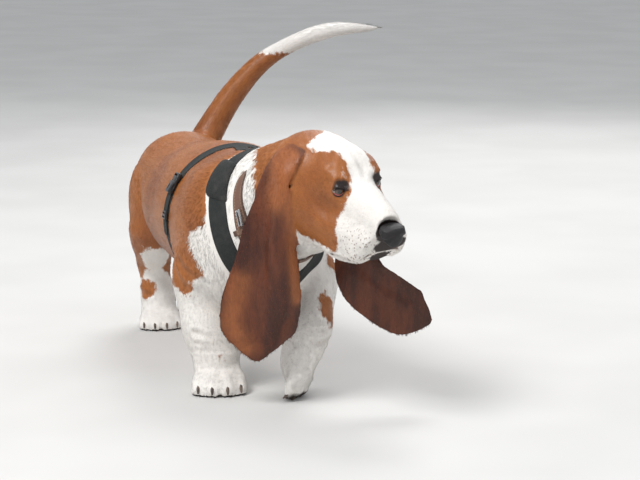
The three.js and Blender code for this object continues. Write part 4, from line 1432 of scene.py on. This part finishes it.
def refined(name: str, nodes: Iterable[str], grain: float, rounds: int) -> bpy.types.Object:
    """A finer, rounder copy of some nodes as one piece.

    Args:
        name: the new piece's name.
        nodes: the nodes to copy.
        grain: the size of the new mesh, in metres.
        rounds: how often it is smoothed.

    Returns:
        The piece.
    """
    obj = bmesh_object(name, node_bmesh(nodes))
    apply(obj, "REMESH", mode="VOXEL", voxel_size=grain)
    apply(obj, "SMOOTH", factor=0.5, iterations=rounds)
    smooth(obj)
    return obj


def make_nose() -> None:
    """Makes the pebbled nose, with its nostrils and the groove between them."""
    nose = refined("nose_pad", ["nose"], 0.0009, 6)
    p, n = points_of(nose.data), normals_of(nose.data)
    move = np.zeros(len(p))
    for side in (1, -1):
        nostril = [in_head(x, y * side, z) for x, y, z in ((246, 6.5, -71), (243, 11.5, -74), (236, 16.5, -78))]
        d = to_line(p, nostril) / 0.0024
        move -= 0.0030 * np.exp(-d * d)
        move += 0.0008 * np.exp(-((d - 1.9) ** 2))
    groove = to_line(p, [in_head(247, 0, -72), in_head(246, 0, -92)]) / 0.0011
    move -= 0.0012 * np.exp(-groove * groove)
    x, y, z = to_head(p + n * move[:, None]).T
    y = y * np.interp(z, (-95, -82, -72, -60), (0.78, 0.95, 1.08, 1.04))
    z = np.where(z > -64, -64 + (z + 64) * 0.42, z) - 3.5
    x = np.where(x > 238, 238 + (x - 238) * 0.72, x) + 3.0
    set_points(nose.data, from_head(np.stack((x, y, z), 1)))
    settle(nose, NOSE_LEATHER.make(), "nose_leather", "nose")


def make_claws() -> None:
    """Makes the sixteen claws."""
    names = sorted(CLAW_NODES)
    settle(refined("claws", names, 0.0007, 4), CLAW_HORN.make(), "claw_horn", *names)


# ---------------------------------------------------------------- harness and collar


WEBBING = MadeFinish(
    "black webbing", Ply.WEBBING, (0.012, 0.016, 0.016), (0.16, 0.15, 0.13), 0.78, amount=0.22
)
SLEEVE = MadeFinish("sleeve cloth", Ply.WEBBING, (0.016, 0.018, 0.018), (0.17, 0.16, 0.14), 0.85, amount=0.3)
LEATHER = MadeFinish(
    "brown leather", Ply.LEATHER, (0.155, 0.078, 0.050), (0.30, 0.20, 0.14), 0.5, amount=0.35
)
PLASTIC = MadeFinish(
    "black plastic", Ply.PLASTIC, (0.014, 0.015, 0.017), (0.12, 0.12, 0.12), 0.36, amount=0.15
)
STEEL = MadeFinish("steel", Ply.STEEL, (0.56, 0.56, 0.57), (0.28, 0.27, 0.26), 0.24, 1.0, 0.25)


@dataclass(frozen=True)
class Loop:
    """A strap's path: a plane round the body, in the dog's millimetres, and degrees from its top."""

    centre: Triple
    way: Triple
    width: float
    thick: float
    start: float = 0.0
    stop: float = 360.0
    limit: float = 280.0
    lift: float = 0.2

    def ray(self, degrees: float) -> tuple[Vector, Vector]:
        """The outward direction at an angle, and the strap's crosswise direction."""
        normal = Vector(self.way).normalized()
        high = (Vector((0, 0, 1)) - normal * normal.z).normalized()
        side = normal.cross(high)
        a = math.radians(degrees)
        return high * math.cos(a) + side * math.sin(a), normal


SINK = 0.9  # how deep every strap lies in the coat, in millimetres
LANES = (-0.5, 0.0, 0.5)  # where the skin is felt for, as shares of the width
NECK_LOOP = Loop((88, -4, 248), (0.929, 0.2, 0.31), 28, 2.6)
GIRTH = Loop((-72, -6, 250), (0.99, 0, 0.06), 25, 2.6)
COLLAR = Loop((122, 36, 280), (0.965, -0.02, 0.26), 15, 3.4, limit=90)
CHEST = Loop((-10, -2, 235), (0, 1, 0), 26, 2.6, 124, 202)
BACK = replace(CHEST, width=22, start=-34, stop=24)
STRAPS = {
    "harness_neck_loop": NECK_LOOP,
    "harness_girth": GIRTH,
    "harness_chest_strap": CHEST,
    "harness_back_strap": BACK,
}


@dataclass
class Tack:
    """The harness and the collar: webbing, padded sleeves, buckles, a leather band and its buckle."""

    skin: bpy.types.Object

    def build(self) -> None:
        """Makes every strap and fitting."""
        self.tree = mesh_tree(self.skin.data)
        wear = wear_group()
        web, pad, hide, plastic, steel = (m.make(wear) for m in (WEBBING, SLEEVE, LEATHER, PLASTIC, STEEL))
        for node, loop in STRAPS.items():
            settle(self._strap(f"{node}_webbing", loop), web, "harness_webbing", node)
        for name, low, high in (("right", 14, 48), ("left", -48, -14)):
            path = replace(NECK_LOOP, width=36, thick=9.5, start=low, stop=high, lift=-1.0)
            sleeve = self._strap(f"sleeve_{name}", path, puffed=True)
            settle(sleeve, pad, "harness_webbing", f"harness_sleeve_{name}")
        settle(self._strap("collar_band", COLLAR), hide, "collar_leather", "collar")
        tail = replace(GIRTH, width=21, thick=2.4, start=66, stop=104, lift=3.0)
        settle(self._strap("girth_tail", tail), web, "harness_webbing")
        settle(self._side_release(), plastic, "harness_plastic", "girth_buckle")
        settle(self._slider(), plastic, "harness_plastic", "girth_slider")
        settle(self._frame_buckle(), steel, "collar_steel", "collar_buckle")
        keeper = replace(COLLAR, width=19, thick=2.2, start=104, stop=110, lift=3.4)
        settle(self._strap("keeper_loop", keeper), hide, "collar_leather", "collar_keeper")

    def _reach(self, loop: Loop, degrees: float, offset: float) -> float:
        """How far the skin is from the strap's middle at an angle, in millimetres."""
        ray, normal = loop.ray(degrees)
        start = at(*loop.centre) + normal * offset * MM
        hit = self.tree.ray_cast(start, ray, loop.limit * MM)
        return (hit[0] - start).length / MM if hit[0] else loop.limit

    def _reaches(self, loop: Loop, angles: list[float], closed: bool) -> np.ndarray:
        """The skin's distances at all angles and lanes, evened out along the strap."""
        reach = np.array([[self._reach(loop, a, lane * loop.width) for lane in LANES] for a in angles])
        reach = np.minimum(reach, np.median(reach) * 1.9)
        for _ in range(3):
            if closed:
                reach = np.roll(reach, 1, 0) * 0.25 + reach * 0.5 + np.roll(reach, -1, 0) * 0.25
            else:
                reach[1:-1] = reach[:-2] * 0.25 + reach[1:-1] * 0.5 + reach[2:] * 0.25
        return reach

    def _section(self, loop: Loop, puffed: bool) -> list[tuple[float, float]]:
        """The outline across a strap, with rounded edges, in millimetres."""
        half, thick = loop.width / 2, loop.thick
        r = thick * 0.42 if puffed else min(thick * 0.45, 1.1)
        edge = [
            (-half, r),
            (-half, thick - r),
            (-half + r * 0.4, thick - r * 0.3),
            (-half + r * 1.2, thick),
            (-half * 0.5, thick),
        ]
        return [*edge, (0, thick), *((-y, z) for y, z in edge[::-1]), (half - r, 0), (0, 0), (-half + r, 0)]

    def _strap(self, name: str, loop: Loop, puffed: bool = False) -> bpy.types.Object:
        """A band that follows the skin, with rounded edges and a lengthwise map.

        Args:
            name: the piece's name.
            loop: its path and size.
            puffed: true for a padded sleeve, with a crowned face and closed, tapered ends.

        Returns:
            The band.
        """
        arc = loop.stop - loop.start
        closed = arc >= 360
        steps = max(8, int(arc / 3))
        angles = [loop.start + arc * k / steps for k in range(steps + (0 if closed else 1))]
        section = self._section(loop, puffed)
        points, along, last = [], [], None
        for k, (a, reach) in enumerate(zip(angles, self._reaches(loop, angles, closed))):
            ray, normal = loop.ray(a)
            end = min(k, len(angles) - 1 - k) / (len(angles) - 1)
            squeeze = 0.45 + 0.55 * math.sin(math.pi * end / 0.24) if puffed and end < 0.12 else 1.0
            ring = []
            for y, z in section:
                lane = np.interp(y / loop.width, LANES, reach)
                round_over = 1 - (2 * y / loop.width) ** 2
                crown = round_over * (1.6 if puffed else 0.25) * (z > loop.thick * 0.5)
                out = lane + loop.lift - SINK + (z + crown) * squeeze
                ring.append(at(*loop.centre) + (normal * y * (0.75 + 0.25 * squeeze) + ray * out) * MM)
            here = sum(ring, Vector()) / len(ring)
            along.append(along[-1] + (here - last).length if along else 0.0)
            last = here
            points += ring
        count, sides = len(angles), len(section)
        faces = tube_faces(count, sides, closed)
        mesh = mesh_from(name, points, [face for face, _, _ in faces])
        layer = mesh.uv_layers.new(name="Along")
        reached = [*along, along[-1] + (along[1] - along[0])]
        for polygon, (face, k, j) in zip(mesh.polygons, faces):
            for loop_index, vertex in zip(polygon.loop_indices, face):
                ahead = j >= 0 and vertex // sides != k
                across = section[vertex % sides][0] * MM
                layer.data[loop_index].uv = (reached[k + 1] if ahead else reached[k], across)
        obj = new_object(name, mesh)
        outward(obj)
        apply(obj, "SUBSURF", levels=1, render_levels=1)
        return obj

    def _on(self, loop: Loop, degrees: float, lift: float) -> Matrix:
        """A frame on a strap: X along it, Y across it, Z outwards."""
        _, normal = loop.ray(degrees)

        def out(a: float) -> Vector:
            """The strap's outer face at an angle."""
            way, _ = loop.ray(a)
            far = self._reach(loop, a, 0) + loop.thick + loop.lift - SINK + lift
            return at(*loop.centre) + way * far * MM

        along = (out(degrees + 6) - out(degrees - 6)).normalized()
        outwards = along.cross(normal).normalized()
        across = outwards.cross(along)
        matrix = Matrix((along, across, outwards)).transposed().to_4x4()
        matrix.translation = out(degrees)
        return matrix

    def _block(self, size: Triple, place: Triple, bevel: float) -> bpy.types.Object:
        """A moulded block with rounded edges, in millimetres about the local origin."""
        deselect()
        bpy.ops.mesh.primitive_cube_add(size=1)
        obj = bpy.context.object
        stretched = Matrix.Diagonal((*(s * MM for s in size), 1))
        obj.data.transform(Matrix.Translation(Vector(place) * MM) @ stretched)
        apply(obj, "BEVEL", width=bevel * MM, segments=3, limit_method="NONE")
        return obj

    def _fitting(self, name: str, blocks: list[tuple], holes: list[tuple], matrix: Matrix) -> bpy.types.Object:
        """Joins blocks into one body, cuts the holes and puts it in place.

        Args:
            name: the piece's name.
            blocks: each block's size, place and bevel.
            holes: the same for what is cut out.
            matrix: the body's place on its strap.

        Returns:
            The body.
        """
        first, *rest = (self._block(*block) for block in blocks)
        for other in rest:
            combine(first, other, "UNION")
        for hole in holes:
            combine(first, self._block(*hole), "DIFFERENCE")
        return self._placed(first, name, matrix)

    def _placed(self, obj: bpy.types.Object, name: str, matrix: Matrix) -> bpy.types.Object:
        """Names a finished body, puts it in place and shades it with its edges kept."""
        obj.name = name
        obj.data.transform(matrix)
        obj.data.update()
        active(obj)
        bpy.ops.object.shade_smooth_by_angle(angle=math.radians(35))
        return obj

    def _side_release(self) -> bpy.types.Object:
        """The girth's side-release buckle: a shell with side openings, two prongs and end bars."""
        blocks = [
            ((20, 28, 8.5), (7, 0, 4.2), 2.2),
            ((13, 29, 7), (-10.5, 0, 3.8), 2.0),
            ((16, 5, 5), (0, 12.6, 4), 1.6),
            ((16, 5, 5), (0, -12.6, 4), 1.6),
            ((10, 9, 5), (-2, 0, 4), 1.2),
        ]
        holes = [
            ((9, 12, 3), (8, 0, 9.2), 0.8),
            ((3.2, 22, 12), (-13, 0, 4), 0.8),
            ((9, 3, 4), (5, 14.6, 4.2), 0.6),
            ((9, 3, 4), (5, -14.6, 4.2), 0.6),
        ]
        return self._fitting("side_release_buckle", blocks, holes, self._on(GIRTH, 62, -0.2))

    def _slider(self) -> bpy.types.Object:
        """The three-bar slider that takes up the girth's length."""
        holes = [((2.6, 22, 9), (-3, 0, 3), 0.5), ((2.6, 22, 9), (3, 0, 3), 0.5)]
        blocks = [((13, 28, 5), (0, 0, 2.6), 1.4)]
        return self._fitting("three_bar_slider", blocks, holes, self._on(GIRTH, 88, 0.2))

    def _frame_buckle(self) -> bpy.types.Object:
        """The collar's rectangular steel buckle, and the prong that crosses its opening."""
        rim = self._block((25, 25, 3.2), (0, 0, 2.4), 1.3)
        combine(rim, self._block((17, 18, 9), (0.8, 0, 2.4), 1.2), "DIFFERENCE")
        for part in (((21, 2.4, 2.2), (1.5, 0, 5.0), 0.9), ((3.4, 3.4, 4.4), (-10.6, 0, 3.8), 1.0)):
            combine(rim, self._block(*part), "UNION")
        return self._placed(rim, "frame_buckle", self._on(COLLAR, 92, 0.2))


# ---------------------------------------------------------------- studio


@dataclass
class Studio:
    """A plain pale floor, soft light and the camera."""

    target: Triple = (-0.0534, 0.0551, 0.191)
    back: Triple = (0.96041, -0.21644, 0.17537)
    distance: float = 3.2
    lens: float = 111.8
    lit: Triple = (0, 0, 0.22)

    def camera(self) -> None:
        """Places the camera at the dog's front quarter."""
        data = bpy.data.cameras.new("camera")
        data.lens, data.sensor_width = self.lens, 36.0
        data.clip_start, data.clip_end = 0.05, 60
        camera = new_object("camera", data)
        back = Vector(self.back).normalized()
        camera.location = Vector(self.target) + back * self.distance
        camera.rotation_euler = (-back).to_track_quat("-Z", "Y").to_euler()
        bpy.context.scene.camera = camera

    def light(self) -> None:
        """Adds the floor, the area lights and an even sky."""
        deselect()
        bpy.ops.mesh.primitive_plane_add(size=80, location=(0, 0, 0))
        floor = bpy.context.object
        floor.name = "floor"
        material, f, shader = blank("pale floor")
        blotch = f.spread(f.noise(f.place(), 3, 2), 0.3, 0.7)
        f.wire(f.mix(blotch, (0.62, 0.61, 0.59), (0.66, 0.65, 0.63)), shader.inputs["Base Color"])
        shader.inputs["Roughness"].default_value = 0.8
        floor.data.materials.append(material)
        for name, place, size, power in (
            ("key", (1.4, -1.9, 3.2), 1.3, 100),
            ("fill", (2.8, 2.2, 1.8), 2.6, 10),
            ("top", (-1.2, 0.6, 3.0), 1.2, 34),
            ("rim", (-2.8, 1.4, 1.8), 1.6, 22),
        ):
            data = bpy.data.lights.new(name, "AREA")
            data.size, data.energy = size, power
            lamp = new_object(name, data)
            lamp.location = place
            lamp.rotation_euler = (Vector(self.lit) - Vector(place)).to_track_quat("-Z", "Y").to_euler()
        world = bpy.data.worlds.new("even sky")
        world.use_nodes = True
        sky = world.node_tree.nodes["Background"].inputs
        sky["Color"].default_value = (0.93, 0.96, 1.0, 1)
        sky["Strength"].default_value = 0.62
        bpy.context.scene.world = world
        bpy.context.scene.view_settings.view_transform = "Standard"


def main() -> None:
    """Builds the dog piece by piece."""
    logging.basicConfig(level=logging.INFO, format="%(message)s")
    studio = Studio()
    studio.camera()
    hide = Hide()
    skin = hide.build()
    markings, grain = CoatColours().group(), fur_grain_group()
    settle(skin, CoatFinish("skin and undercoat").make(markings, grain), "coat_white", *COAT_NODES)
    make_nose()
    make_claws()
    Eyes().build()
    Tack(skin).build()
    finish = CoatFinish("coat tufts", bump=0.15, grain=1.4).make(markings, grain)
    for piece in Coat(hide, skin).build():
        settle(piece, finish, "coat_tan")
    studio.light()
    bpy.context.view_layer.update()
    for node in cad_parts.values():
        node.select_set(False)


if __name__ == "__main__":
    main()
